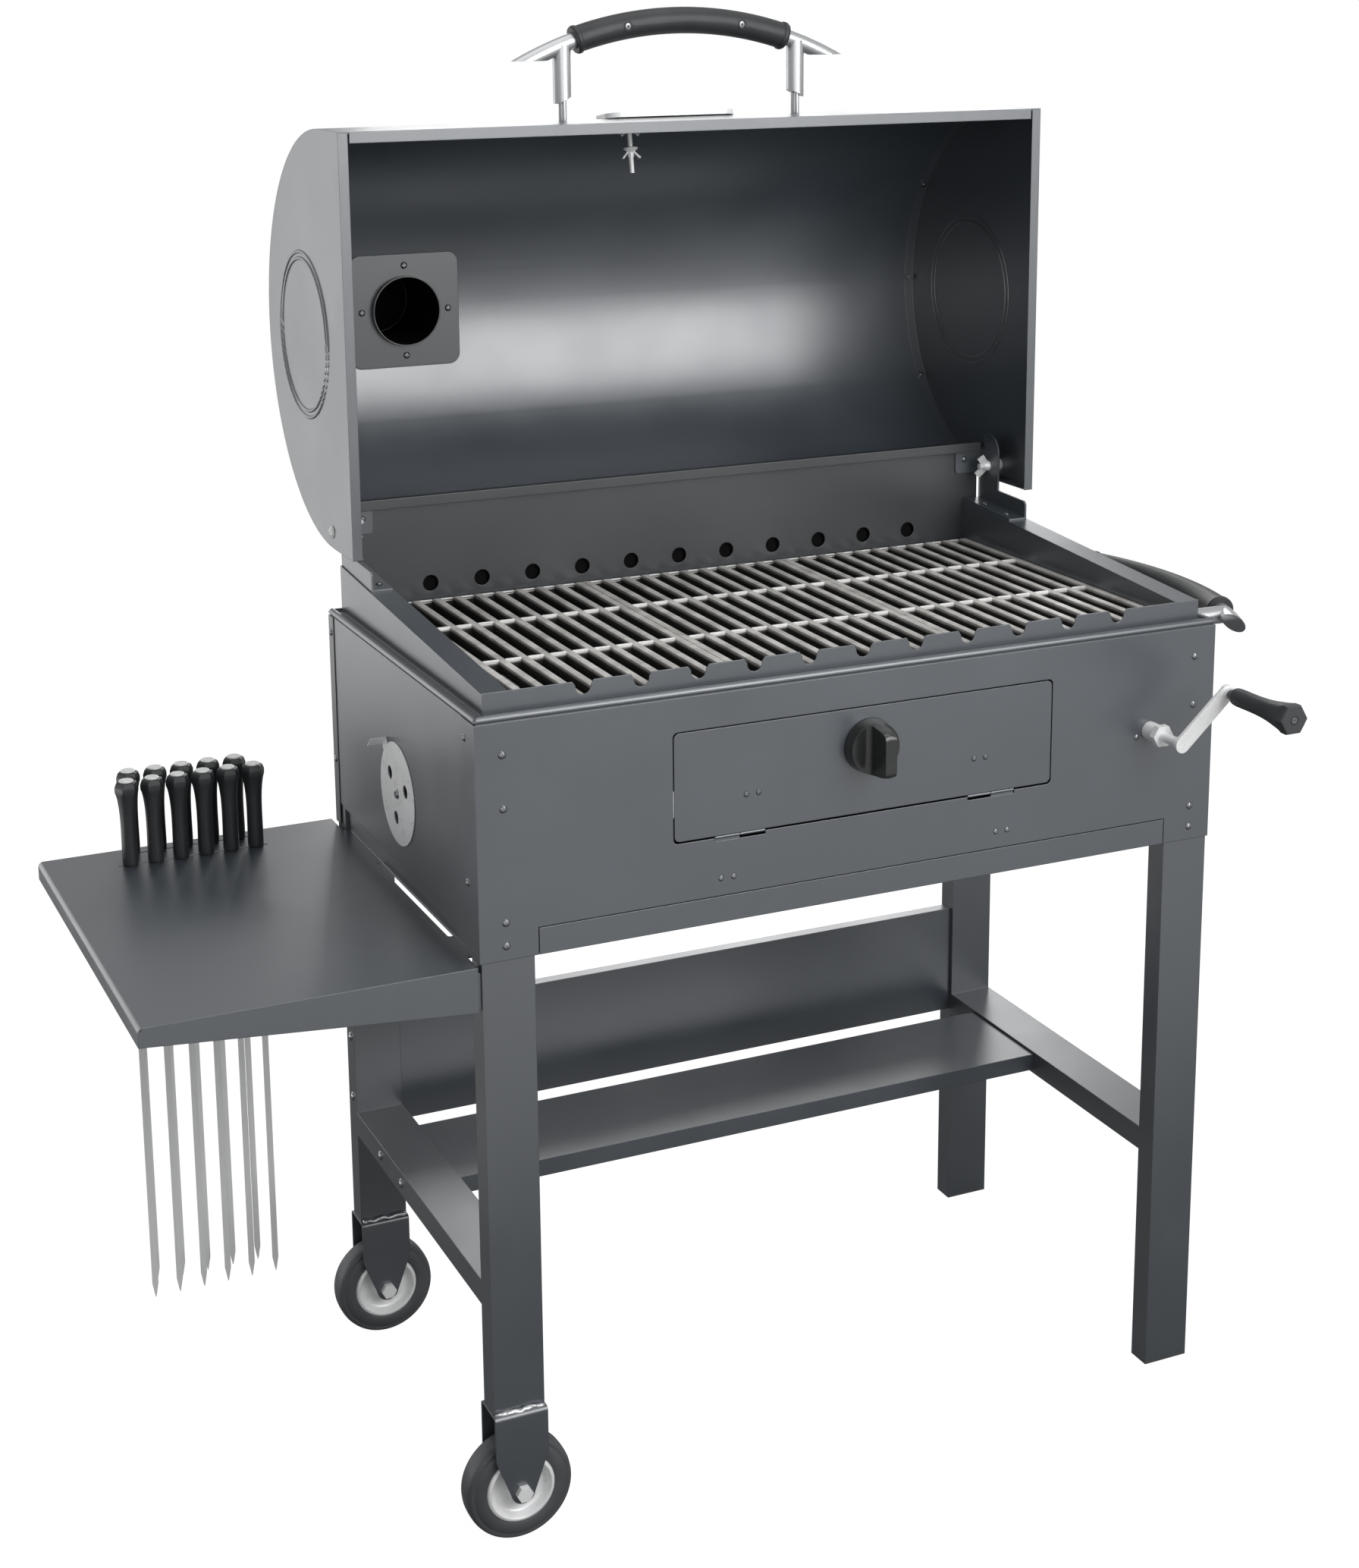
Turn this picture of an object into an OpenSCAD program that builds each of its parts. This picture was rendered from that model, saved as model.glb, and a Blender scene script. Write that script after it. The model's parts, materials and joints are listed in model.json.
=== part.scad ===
// Charcoal barrel grill on a trolley: firebox on four legs, half-round lid, side table,
// skewers and a crank that lifts the charcoal tray. Millimetres.
// It is laid out from the firebox's front left edge: X to the right, Y to the back, Z up from the floor.

/* [Firebox] */
// Width of the firebox across the front
firebox_w = 930; // [925:1:940]
// Depth from the front panel to the back panel
firebox_d = 515; // [512:1:520]
// Height of the panels' lower edge above the floor
firebox_bottom = 689; // [680:1:700]
// Height of the panels' upper edge above the floor
firebox_top = 953; // [945:1:960]
// Sheet thickness of the panels
sheet = 1.2; // [1:0.1:1.5]
// How far the front panel wraps round the sides
wrap = 40; // [36:1:50]
// How far the back panel wraps round the sides
rear_wrap = 18; // [17:1:30]

/* [Rim] */
// How far the rim's lip stands in from the panels
rim_inset = 15; // [14:0.5:16]
// Height of the rim's side tops at the front, above the panels
rim_front_rise = 27; // [24:1:28]
// Extra height of the side tops at the back
rim_slope_rise = 33; // [25:1:36]
// Width of the flat side tops
rim_top_w = 30; // [26:1:32]
// Height of the back wall above the panels
back_wall_rise = 137; // [130:1:139]
// Distance between neighbouring skewer places
skewer_pitch = 67.2; // [60:0.1:68]
// Diameter of the skewer holes in the back wall
skewer_hole_d = 20; // [16:1:22]

/* [Lid] */
// Radius of the lid's barrel
lid_r = 248; // [246:1:249]
// Depth of the straight part of the lid's end plates
lid_skirt = 74; // [70:1:78]
// Diameter of the pressed ring on each end plate
ring_d = 200; // [160:1:210]
// Outer diameter of the chimney pipe
chimney_d = 90; // [70:1:94]
// Length of the chimney pipe outside the lid
chimney_len = 110; // [60:1:140]

/* [Charcoal door] */
// Width of the door opening
door_w = 480; // [440:1:490]
// Height of the door opening
door_h = 126; // [110:1:130]
// Diameter of the door knob
knob_d = 58; // [46:1:60]

/* [Lift] */
// Throw of the lift shafts, centre to centre
throw = 60; // [50:1:62]
// Angle of the throws below level at rest
throw_drop = 60; // [50:1:60]
// Length of the crank's arm
crank_len = 82; // [70:1:90]
// Length of the crank's grip
crank_grip_len = 118; // [100:1:125]

/* [Trolley] */
// Width of a leg tube, across the front
leg_w = 60; // [50:1:60]
// Depth of a leg tube
leg_d = 30; // [28:1:30]
// Wheel diameter
wheel_d = 125; // [120:1:126]
// Height of the left legs' lower ends
wheel_leg_z = 160; // [150:1:170]
// Height of the side rails' underside
rail_z = 280; // [200:1:330]
// Depth of the bottom shelf
shelf_d = 152; // [120:1:180]

/* [Side table] */
// How far the table stands out to the left
table_w = 360; // [300:1:400]
// Depth of the table
table_d = 530; // [525:1:540]
// Height of the table's top
table_z = 686; // [684:1:687]

/* [Skewers] */
// Length of a skewer's blade below its handle
blade_len = 560; // [450:1:570]
// Length of a skewer's handle
handle_len = 104; // [90:1:115]

/* [Hidden] */
$fn = 64;
coat = "#34373a";
pale_coat = "#3f4346";
black = "#1b1c1e";
zinc = "#b9bdc2";
satin = "#d5d8da";
iron = "#6d6860";
rubber = "#26272a";

// rim levels
panel_top = firebox_top - 2;
ledge_z = firebox_top + 2;
lip_y = rim_inset;
rim_front_z = firebox_top + rim_front_rise - 1;
lip_top = firebox_top + rim_front_rise;
back_wall_y = firebox_d - 8;
rim_back_z = rim_front_z + rim_slope_rise;
rim_in_x = rim_inset + rim_top_w;
seat_z = firebox_top - 6;
grate_h = 14;
notch_z = firebox_top + 21;
hole_z = firebox_top + 25;
back_wall_top = firebox_top + back_wall_rise;
skewer_count = 11;

// lid, standing open
pivot_y = firebox_d - 32;
pivot_z = firebox_top + 107;
lid_front_y = pivot_y - 79;
lid_cy = lid_front_y + lid_skirt;
lid_cz = pivot_z + 228;
lid_top = lid_cz + lid_r;
lip_h = 13;
shell_end_y = firebox_d + 9;
flange_x = 13.5;
pivot_r = 4;
running = 0.07;
bracket_x = rim_inset + 2;
bracket_t = 2.5;
chimney_x = 175;
chimney_plate = 145;
plate_y = lid_cy + sqrt(pow(lid_r - sheet, 2) - pow(chimney_plate / 2, 2)) - sheet;
chimney_end = lid_cy + lid_r + chimney_len;

// handles
handle_span = 157;
handle_arc_r = 466;
handle_rise = 116;
handle_cut = 71;
bezel_h = 6;
lid_handle_y = lid_cy + 12;
side_handle_z = firebox_top - 22;

// door
door_x = (firebox_w - door_w) / 2;
door_z = firebox_bottom + 98;
door_gap = 2.3;
hinge_pin_r = 1;
knuckle_r = 1.8;
hinge_y = knuckle_r;
knob_x = firebox_w / 2;
knob_z = door_z + 80;
leaf_x = [door_x + 50, firebox_w - door_x - 50 - 30];
strap_x = [leaf_x[0] + 30.5, leaf_x[1] - 31];

// lift
crank_x = firebox_w - 89;
lift_x = [crank_x - 632, crank_x];
shaft_z = firebox_bottom + 144;
shaft_r = 6;
rod_r = 5;
rod_x = [for (x = lift_x) x - throw * cos(throw_drop)];
rod_z = shaft_z - throw * sin(throw_drop);
link_r = 35;
link_x = [for (x = lift_x) x + link_r * sin(throw_drop)];
link_z = shaft_z - link_r * cos(throw_drop);
tray_y0 = 44;
tray_y1 = firebox_d - 44;
tray_w = 760;
tray_x0 = (rod_x[0] + rod_x[1]) / 2 - tray_w / 2;
tray_z = rod_z + rod_r + 1;
tray_h = 45;
arm_y = -66;
grip_angle = 42;
grip_x = crank_x + crank_len * cos(grip_angle);
grip_z = shaft_z + crank_len * sin(grip_angle);

// ash drawer
drawer_x0 = 68;
drawer_x1 = firebox_w - 65;
drawer_top = firebox_bottom + 30;
drawer_d = 440;

// trolley
tube = 2;
leg_x = [2 * sheet, firebox_w - 2 * sheet - leg_w];
leg_y = [sheet, firebox_d - sheet - leg_d];
leg_top = firebox_bottom + 56;
foot_h = 4;
wheel_r = wheel_d / 2;
wheel_x = leg_x[0] + leg_w / 2;
wheel_y = [for (y = leg_y) y + leg_d / 2];
axle_r = 5;
fork_half = 20;
fork_t = 3;
shelf_y0 = 272;
rail_h = 30;

// table and skewers
table_x0 = -table_w - 2;
table_x1 = -2;
row_y = [474, 511];
row_x = [-264, -254];
row_pitch = [30.2, 32];
row_count = [6, 5];
slot_w = 3.2;

// damper
damper_y = 265;
damper_z = firebox_bottom + 109;
damper_r = 60;
damper_hole_r = 8;
damper_ring = 31;

// middle of the object's footprint, which is moved onto the origin
far_x = firebox_w + handle_rise + 16;
grip_end_y = arm_y - 4 - crank_grip_len;
far_y = chimney_end + 5.5;
mid_x = (table_x0 + far_x) / 2;
mid_y = (grip_end_y + far_y) / 2;
inner_x = [leg_x[0] + leg_w, leg_x[1]];

function rim_z(y) = rim_front_z + (y - lip_y) * rim_slope_rise / (back_wall_y - lip_y);
function skewer_x(i) = firebox_w / 2 + (i - (skewer_count - 1) / 2) * skewer_pitch;

// ---- helpers ----

// moves the middle of the footprint onto the origin
module at_home() {
    translate([-mid_x, -mid_y, 0]) children();
}

// block between two corners
module box(low, high) {
    translate(low) cube(high - low);
}

// outline drawn in Y and Z, carried along X
module along_x(x0, len) {
    translate([x0, 0, 0]) rotate([90, 0, 90]) linear_extrude(len) children();
}

// outline drawn in X and Z, carried along Y
module along_y(y0, len) {
    translate([0, y0 + len, 0]) rotate([90, 0, 0]) linear_extrude(len) children();
}

module rod_along_x(x0, x1, y, z, r) {
    translate([x0, y, z]) rotate([0, 90, 0]) cylinder(r = r, h = x1 - x0);
}

module rod_along_y(y0, y1, x, z, r) {
    translate([x, y1, z]) rotate([90, 0, 0]) cylinder(r = r, h = y1 - y0);
}

module rounded_rect(w, h, r) {
    translate([r, 0]) square([w - 2 * r, h]);
    translate([0, r]) square([w, h - 2 * r]);
    for (x = [r, w - r], y = [r, h - r]) translate([x, y]) circle(r);
}

// rectangular tube standing on its end
module upright_tube(x, y, z0, z1) {
    difference() {
        box([x, y, z0], [x + leg_w, y + leg_d, z1]);
        box([x + tube, y + tube, z0 - 1], [x + leg_w - tube, y + leg_d - tube, z1 + 1]);
    }
}

// button-headed screw pointing along -Z from its head's seat at the origin
module screw(r, len, head_r) {
    translate([0, 0, -len]) cylinder(r = r, h = len);
    difference() {
        intersection() {
            cylinder(r = head_r, h = head_r);
            translate([0, 0, -head_r * 0.65]) sphere(head_r * 1.2);
        }
        for (a = [0, 90]) rotate([0, 0, a]) translate([-head_r, -0.5, 0.35 * head_r]) cube([2 * head_r, 1, 3]);
    }
}

module hex_nut(across, h) {
    cylinder(r = across / 2 / cos(30), h = h, $fn = 6);
}

// grip that runs up from a slim round end to a flared hexagon
module flared_hex(len, slim_r, across) {
    waist = len * 0.55;
    intersection() {
        cylinder(r = across / 2 / cos(30), h = len, $fn = 6);
        union() {
            cylinder(r1 = slim_r * 1.1, r2 = slim_r, h = waist);
            translate([0, 0, waist]) cylinder(r1 = slim_r, r2 = across / 2, h = len * 0.27);
            translate([0, 0, len * 0.82]) cylinder(r1 = across / 2, r2 = across * 0.66, h = len * 0.13);
            translate([0, 0, len * 0.95]) cylinder(r1 = across * 0.66, r2 = across * 0.5, h = len * 0.05);
        }
    }
}

// ---- firebox ----

screw_rows = [firebox_bottom + 16, firebox_bottom + 42, firebox_bottom + 168, firebox_bottom + 227];
screw_cols = [leg_x[0] + leg_w / 2 - 2, firebox_w - 28];
bearing_screw_dx = [-18, 28.5];
leaf_screw_dx = [6.9, 22.3];
strap_screw_dx = [7.5, 22.5];
foot_x = 8;
wrap_screw_y = [30, firebox_d - 9.5];
wrap_screw_z = [firebox_bottom + 82, firebox_bottom + 242];
screw_r = 2.5;

module front_screw_holes() {
    for (x = screw_cols, z = screw_rows) rod_along_y(-2, leg_y[0] + tube + 1, x, z, screw_r + 0.05);
}

module rear_screw_holes() {
    for (x = screw_cols, z = screw_rows)
        rod_along_y(leg_y[1] + leg_d - tube - 1, firebox_d + 2, x, z, screw_r + 0.05);
}

module wrap_screw_holes() {
    for (y = wrap_screw_y, z = wrap_screw_z) {
        rod_along_x(-1, 3 * sheet, y, z, screw_r + 0.05);
        rod_along_x(firebox_w - 3 * sheet, firebox_w + 1, y, z, screw_r + 0.05);
    }
}

// panel with its two wraps, its face at y and its wraps reaching to y_end
module wrapped_panel(y_face, y_end) {
    box([0, y_face, firebox_bottom], [firebox_w, y_face + sheet, panel_top]);
    for (x = [0, firebox_w - sheet])
        box([x, min(y_face, y_end), firebox_bottom], [x + sheet, max(y_face + sheet, y_end), panel_top]);
}

module front_panel() {
    color(coat) at_home() difference() {
        wrapped_panel(0, wrap);
        along_y(-1, 3) translate([door_x, door_z]) rounded_rect(door_w, door_h, 6);
        for (k = [0, 1]) box([min(leaf_x[k], strap_x[k]) - 0.6, -1, door_z - 4],
            [max(leaf_x[k], strap_x[k]) + 30.6, 2, door_z + 8]);
        box([drawer_x0 - 1, -1, firebox_bottom - 1], [drawer_x1 + 1, 2, drawer_top + 1]);
        rod_along_y(-1, 3, crank_x, shaft_z, 11.05);
        for (dx = bearing_screw_dx) rod_along_y(-1, 3, crank_x + dx, shaft_z - 6, 2.05);
        for (x = leaf_x, dx = leaf_screw_dx) rod_along_y(-1, 3, x + dx, door_z - 47, 2.05);
        front_screw_holes();
        wrap_screw_holes();
    }
}

module rear_panel() {
    color(coat) at_home() difference() {
        union() {
            wrapped_panel(firebox_d - sheet, firebox_d - rear_wrap);
            // floor strip behind the ash drawer
            box([inner_x[0] + 2, drawer_d + 6, firebox_bottom + 4],
                [inner_x[1] - 2, firebox_d - sheet, firebox_bottom + 4 + sheet]);
        }
        rear_screw_holes();
        wrap_screw_holes();
    }
}

// left side panel with a set-in strip along its foot
module side_panel() {
    x = sheet;
    fold = firebox_bottom + 27;
    strip_y = [leg_y[0] + leg_d + 0.5, leg_y[1] - 0.5];
    box([x, sheet, fold], [x + sheet, firebox_d - sheet, panel_top]);
    box([x, strip_y[0], fold - 2], [foot_x + sheet, strip_y[1], fold + sheet]);
    box([foot_x, strip_y[0], firebox_bottom], [foot_x + sheet, strip_y[1], fold]);
}

module left_side_panel() {
    color(pale_coat) at_home() difference() {
        side_panel();
        wrap_screw_holes();
        for (a = damper_angles) damper_hole(a);
        rod_along_x(0, 4, damper_y, damper_z, 3.05);
    }
}

module right_side_panel() {
    color(pale_coat) at_home() difference() {
        translate([firebox_w, 0, 0]) mirror([1, 0, 0]) side_panel();
        wrap_screw_holes();
        for (dy = [-handle_span, handle_span], dz = [-5, 5])
            rod_along_x(firebox_w - 4, firebox_w + 1, firebox_d / 2 + dy, side_handle_z + dz, 3.05);
    }
}

// ---- rim, back wall and grates ----

module notch_outline() {
    translate([0, notch_z]) circle(9);
    translate([-9, notch_z]) square([18, 20]);
    polygon([[-9, lip_top - 5], [-13, lip_top + 1], [13, lip_top + 1], [9, lip_top - 5]]);
}

module front_lip() {
    along_y(lip_y, sheet) difference() {
        translate([rim_inset, seat_z - 3]) square([firebox_w - 2 * rim_inset, lip_top - seat_z + 3]);
        for (i = [0 : skewer_count - 1]) translate([skewer_x(i), 0]) notch_outline();
    }
}

// left side of the rim: outer wall, sloping flat top, inner wall and the grates' seat
module rim_side() {
    y1 = back_wall_y;
    along_x(rim_inset, sheet)
        polygon([[lip_y, ledge_z - sheet], [y1, ledge_z - sheet], [y1, rim_back_z], [lip_y, rim_front_z]]);
    along_x(rim_inset, rim_top_w)
        polygon([[lip_y, rim_front_z - sheet], [y1, rim_back_z - sheet],
            [y1, rim_back_z], [lip_y, rim_front_z]]);
    along_x(rim_in_x - sheet, sheet)
        polygon([[lip_y + sheet, seat_z - sheet], [y1, seat_z - sheet],
            [y1, rim_back_z], [lip_y + sheet, rim_front_z]]);
    box([rim_in_x - sheet, lip_y, seat_z - sheet], [rim_in_x + 16, y1, seat_z]);
    box([0, 0, ledge_z - sheet], [rim_inset + sheet, firebox_d, ledge_z]);
    rod_along_y(4, firebox_d - 4, 4, ledge_z, 4);
    box([2 * sheet, sheet, ledge_z - 12], [3 * sheet, firebox_d - sheet, ledge_z]);
    along_y(lip_y, sheet) translate([rim_inset, rim_front_z - 24]) square([rim_top_w, 24]);
}

module top_rim() {
    color(coat) at_home() difference() {
        union() {
            front_lip();
            rim_side();
            translate([firebox_w, 0, 0]) mirror([1, 0, 0]) rim_side();
            // front ledge with its two beads, and the skirt that sits inside the panel
            box([0, 0, ledge_z - sheet], [firebox_w, lip_y + sheet, ledge_z]);
            rod_along_x(4, firebox_w - 4, 4, ledge_z, 4);
            rod_along_x(rim_inset, firebox_w - rim_inset, 12, ledge_z, 2.5);
            for (x = [4, firebox_w - 4], y = [4, firebox_d - 4]) translate([x, y, ledge_z]) sphere(4);
            box([2 * sheet, sheet, ledge_z - 12], [firebox_w - 2 * sheet, 2 * sheet, ledge_z]);
            // seats for the grates' ends
            box([rim_in_x, lip_y, seat_z - sheet], [firebox_w - rim_in_x, lip_y + 14, seat_z]);
            box([rim_in_x, back_wall_y - 12, seat_z - sheet], [firebox_w - rim_in_x, back_wall_y, seat_z]);
            // back ledge
            box([0, back_wall_y + sheet, ledge_z - sheet], [firebox_w, firebox_d, ledge_z]);
            rod_along_x(4, firebox_w - 4, firebox_d - 3, ledge_z, 3);
            box([2 * sheet, firebox_d - 2 * sheet, ledge_z - 12],
                [firebox_w - 2 * sheet, firebox_d - sheet, ledge_z]);
        }
        for (i = [0, 1], y = foot_screw_y) rim_foot_hole(i, y);
        for (m = [0, 1]) translate([m * firebox_w, 0, 0]) mirror([m, 0, 0]) {
            // mitre gap across the ledge's front corner, and the joint between the lip and the side's top
            translate([0, 0, ledge_z - 0.4]) rotate([0, 0, 45]) translate([3, -0.6, 0]) cube([14, 1.2, 6]);
            box([rim_inset + 1, lip_y + sheet, rim_front_z - 0.7],
                [rim_in_x + 5, lip_y + sheet + 0.9, rim_front_z + 2]);
        }
    }
}

module rear_wall() {
    x0 = rim_inset + 7.5;
    x1 = firebox_w - x0;
    y = back_wall_y;
    color(coat) at_home() difference() {
        union() {
            box([x0, y, seat_z - sheet], [x1, y + sheet, back_wall_top]);
            box([x0, y - 10, back_wall_top - sheet], [x1, y + sheet, back_wall_top]);
            box([x0, y - 10, back_wall_top - 12], [x1, y - 10 + sheet, back_wall_top]);
            rod_along_x(x0, x1, y - 9, back_wall_top - 1, 1);
            // stiffening channel behind the row of holes
            box([x0, y + sheet, hole_z + 24], [x1, y + 7, hole_z + 24 + sheet]);
            box([x0, y + 7 - sheet, ledge_z + 5], [x1, y + 7, hole_z + 24]);
        }
        for (i = [0 : skewer_count - 1]) rod_along_y(y - 2, y + 2, skewer_x(i), hole_z, skewer_hole_d / 2);
        for (x = [44, firebox_w - 44]) rod_along_y(y - 2, y + 3, x, tab_screw_z, 2.05);
    }
}

head_r = 25;
head_z = pivot_z + 18;
tab_screw_z = pivot_z + 7;
foot_y = [pivot_y - 93, back_wall_y - 4];
foot_screw_y = [pivot_y - 71, pivot_y - 18];

module rim_foot_hole(side, y) {
    x = side == 0 ? 33 : firebox_w - 33;
    translate([x, y, rim_z(y)]) cylinder(r = 2.05, h = 14, center = true);
}

// left hinge bracket: an upright with a round head, a foot on the rim and a tab on the back wall
module hinge_bracket() {
    difference() {
        union() {
            along_x(bracket_x, bracket_t) {
                polygon([[foot_y[0], rim_z(foot_y[0])], [back_wall_y, rim_back_z],
                    [back_wall_y, rim_back_z + 20], [foot_y[0] + 4, rim_z(foot_y[0]) + 24],
                    [foot_y[0], rim_z(foot_y[0]) + 20]]);
                translate([pivot_y - head_r, rim_back_z])
                    square([back_wall_y - pivot_y + head_r, head_z - rim_back_z]);
                intersection() {
                    translate([pivot_y, head_z]) circle(head_r);
                    translate([pivot_y - head_r, rim_back_z]) square([back_wall_y - pivot_y + head_r, 200]);
                }
            }
            along_x(bracket_x, 26)
                polygon([[foot_y[0], rim_z(foot_y[0])], [foot_y[1], rim_z(foot_y[1])],
                    [foot_y[1], rim_z(foot_y[1]) + bracket_t], [foot_y[0], rim_z(foot_y[0]) + bracket_t]]);
            along_y(back_wall_y - bracket_t, bracket_t)
                translate([bracket_x, pivot_z - 12]) rounded_rect(40, 36, 5);
        }
        rod_along_x(bracket_x - 1, bracket_x + 4, pivot_y, pivot_z, pivot_r + 0.02);
        rod_along_y(back_wall_y - 4, back_wall_y + 1, 44, tab_screw_z, 2.05);
        for (y = foot_screw_y) rim_foot_hole(0, y);
    }
}

module hinge_brackets() {
    color(coat) at_home() {
        hinge_bracket();
        translate([firebox_w, 0, 0]) mirror([1, 0, 0]) hinge_bracket();
    }
}

grate_gap = 1;
grate_w = (firebox_w - 2 * rim_in_x - 4 * grate_gap) / 3;
grate_y = [lip_y + 4, back_wall_y - 4];
bar_count = 11;
bar_w = 9;
rib_rows = [0, 0.36, 0.7, 1];
rib_w = 6;

// cast grate: long bars from front to back, joined by short cross ribs
module grate(i) {
    x0 = rim_in_x + grate_gap + i * (grate_w + grate_gap);
    depth = grate_y[1] - grate_y[0];
    pitch = (grate_w - bar_w) / (bar_count - 1);
    color(iron) at_home() translate([x0, grate_y[0], seat_z]) difference() {
        linear_extrude(grate_h) difference() {
            square([grate_w, depth]);
            for (b = [0 : bar_count - 2], k = [0 : len(rib_rows) - 2]) {
                low = rib_rows[k] * (depth - rib_w) + rib_w;
                high = rib_rows[k + 1] * (depth - rib_w);
                translate([b * pitch + bar_w, low]) square([pitch - bar_w, high - low]);
            }
        }
        // the bars' ends are stepped down to sit on the seats
        for (y = [-1, depth - 9]) translate([-1, y, grate_h - 3]) cube([grate_w + 2, 10, 4]);
    }
}

// ---- trolley ----

// two legs welded to the rail that joins them
module leg_frame(x, z0) {
    difference() {
        union() {
            for (y = leg_y) upright_tube(x, y, z0, leg_top);
            difference() {
                box([x, leg_y[0] + leg_d, rail_z], [x + leg_w, leg_y[1], rail_z + rail_h]);
                box([x + tube, leg_y[0] + leg_d - 1, rail_z + tube],
                    [x + leg_w - tube, leg_y[1] + 1, rail_z + rail_h - tube]);
            }
        }
        front_screw_holes();
        rear_screw_holes();
    }
}

module left_leg_frame() {
    color(pale_coat) at_home() difference() {
        leg_frame(leg_x[0], wheel_leg_z);
        for (y = shelf_bolt_y) rod_along_x(-1, leg_x[0] + leg_w + 2, y, rail_z + rail_h / 2, 3.05);
        for (z = back_bolt_z) rod_along_x(-1, leg_x[0] + leg_w + 2, back_bolt_y, z, 3.05);
    }
}

module right_leg_frame() {
    color(pale_coat) at_home() difference() {
        leg_frame(leg_x[1], foot_h);
        for (y = shelf_bolt_y) rod_along_x(leg_x[1] - 2, firebox_w + 1, y, rail_z + rail_h / 2, 3.05);
        for (z = back_bolt_z) rod_along_x(leg_x[1] - 2, firebox_w + 1, back_bolt_y, z, 3.05);
    }
}

shelf_bolt_y = [shelf_y0 + 37, shelf_y0 + 117];
back_bolt_y = leg_y[1] + 14;
back_bolt_z = [rail_z + 47, rail_z + 128];

module bottom_shelf() {
    z1 = rail_z + rail_h - 3;
    z0 = z1 - 22;
    y1 = shelf_y0 + shelf_d;
    color(coat) at_home() difference() {
        union() {
            box([inner_x[0], shelf_y0, z1 - 1.5], [inner_x[1], y1, z1]);
            for (y = [shelf_y0, y1 - 1.5]) box([inner_x[0], y, z0], [inner_x[1], y + 1.5, z1]);
            for (x = [inner_x[0], inner_x[1] - 1.5]) box([x, shelf_y0, z0], [x + 1.5, y1, z1]);
        }
        for (y = shelf_bolt_y) rod_along_x(0, firebox_w, y, rail_z + rail_h / 2, 3.05);
    }
}

module lower_back_panel() {
    y = leg_y[1] + 6;
    z = [rail_z + 7, rail_z + 156];
    color(coat) at_home() difference() {
        union() {
            box([inner_x[0], y, z[0]], [inner_x[1], y + 1.5, z[1]]);
            for (h = [z[0], z[1] - 1.5]) box([inner_x[0], y, h], [inner_x[1], y + 16, h + 1.5]);
            for (x = [inner_x[0], inner_x[1] - 1.5]) box([x, y, z[0]], [x + 1.5, y + 16, z[1]]);
        }
        for (h = back_bolt_z) rod_along_x(0, firebox_w, back_bolt_y, h, 3.05);
    }
}

module foot_plugs() {
    x = leg_x[1];
    color(black) at_home() for (y = leg_y) {
        box([x, y, 0], [x + leg_w, y + leg_d, foot_h]);
        box([x + tube + 0.1, y + tube + 0.1, foot_h],
            [x + leg_w - tube - 0.1, y + leg_d - tube - 0.1, foot_h + 18]);
    }
}

// fork plate: wide under the leg, narrowing to a round foot at the axle
module fork_outline() {
    polygon([[-31, wheel_leg_z], [31, wheel_leg_z], [31, wheel_leg_z - 54], [13.5, wheel_r - 3],
        [-13.5, wheel_r - 3], [-31, wheel_leg_z - 54]]);
    translate([0, wheel_r]) circle(14);
}

// plate folded over the wheel, seen from the side
module fork_fold() {
    out = fork_half + fork_t;
    difference() {
        translate([-out, 20]) rounded_rect(2 * out, wheel_leg_z - 20, 5);
        translate([-fork_half, 10]) rounded_rect(2 * fork_half, wheel_leg_z - fork_t - 10, 2.2);
    }
}

module caster_forks() {
    color(pale_coat) at_home() for (y = wheel_y) difference() {
        intersection() {
            along_x(wheel_x - 31, 62) translate([y, 0]) fork_fold();
            translate([wheel_x, 0, 0]) along_y(y - 30, 60) fork_outline();
        }
        rod_along_y(y - 40, y + 40, wheel_x, wheel_r, axle_r + 0.02);
    }
}

module wheel_axles() {
    color(zinc) at_home() for (y = wheel_y) {
        rod_along_y(y - 24, y + 32, wheel_x, wheel_r, axle_r);
        translate([wheel_x, y - 23, wheel_r]) rotate([90, 0, 0]) hex_nut(17, 6.5);
        translate([wheel_x, y + 23, wheel_r]) rotate([-90, 0, 0]) hex_nut(17, 8);
    }
}

module tyre(i) {
    color(rubber) at_home() translate([wheel_x, wheel_y[i], wheel_r]) rotate([90, 0, 0]) rotate_extrude()
        difference() {
            union() {
                translate([45, -16]) square([wheel_r - 45 - 5, 32]);
                translate([45, -11]) square([wheel_r - 45, 22]);
                for (v = [-11, 11]) translate([wheel_r - 5, v]) circle(5);
            }
            translate([44, -8]) square([4, 16]);
        }
}

module wheel_rim(i) {
    color(zinc) at_home() translate([wheel_x, wheel_y[i], wheel_r]) rotate([90, 0, 0]) rotate_extrude()
        union() {
            translate([38, -14]) square([7, 28]);
            translate([44, -7.9]) square([3.9, 15.8]);
            translate([12, -7]) square([28, 14]);
            translate([axle_r + 0.06, -18]) square([13 - axle_r, 36]);
            for (v = [-14, 14]) translate([41.5, v]) circle(3.4);
        }
}

// ---- side table ----

table_side_z = [table_z - 51, table_z - 21];
tongue_y = [leg_y[0] + leg_d + 2, leg_y[1] - 2];

module table_flange(y) {
    along_y(y, 1.5)
        polygon([[table_x0 + 6, table_z - 1], [table_x1, table_z - 1], [table_x1, table_side_z[0]],
            [table_x0, table_side_z[1]], [table_x0, table_z - 6]]);
}

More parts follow.
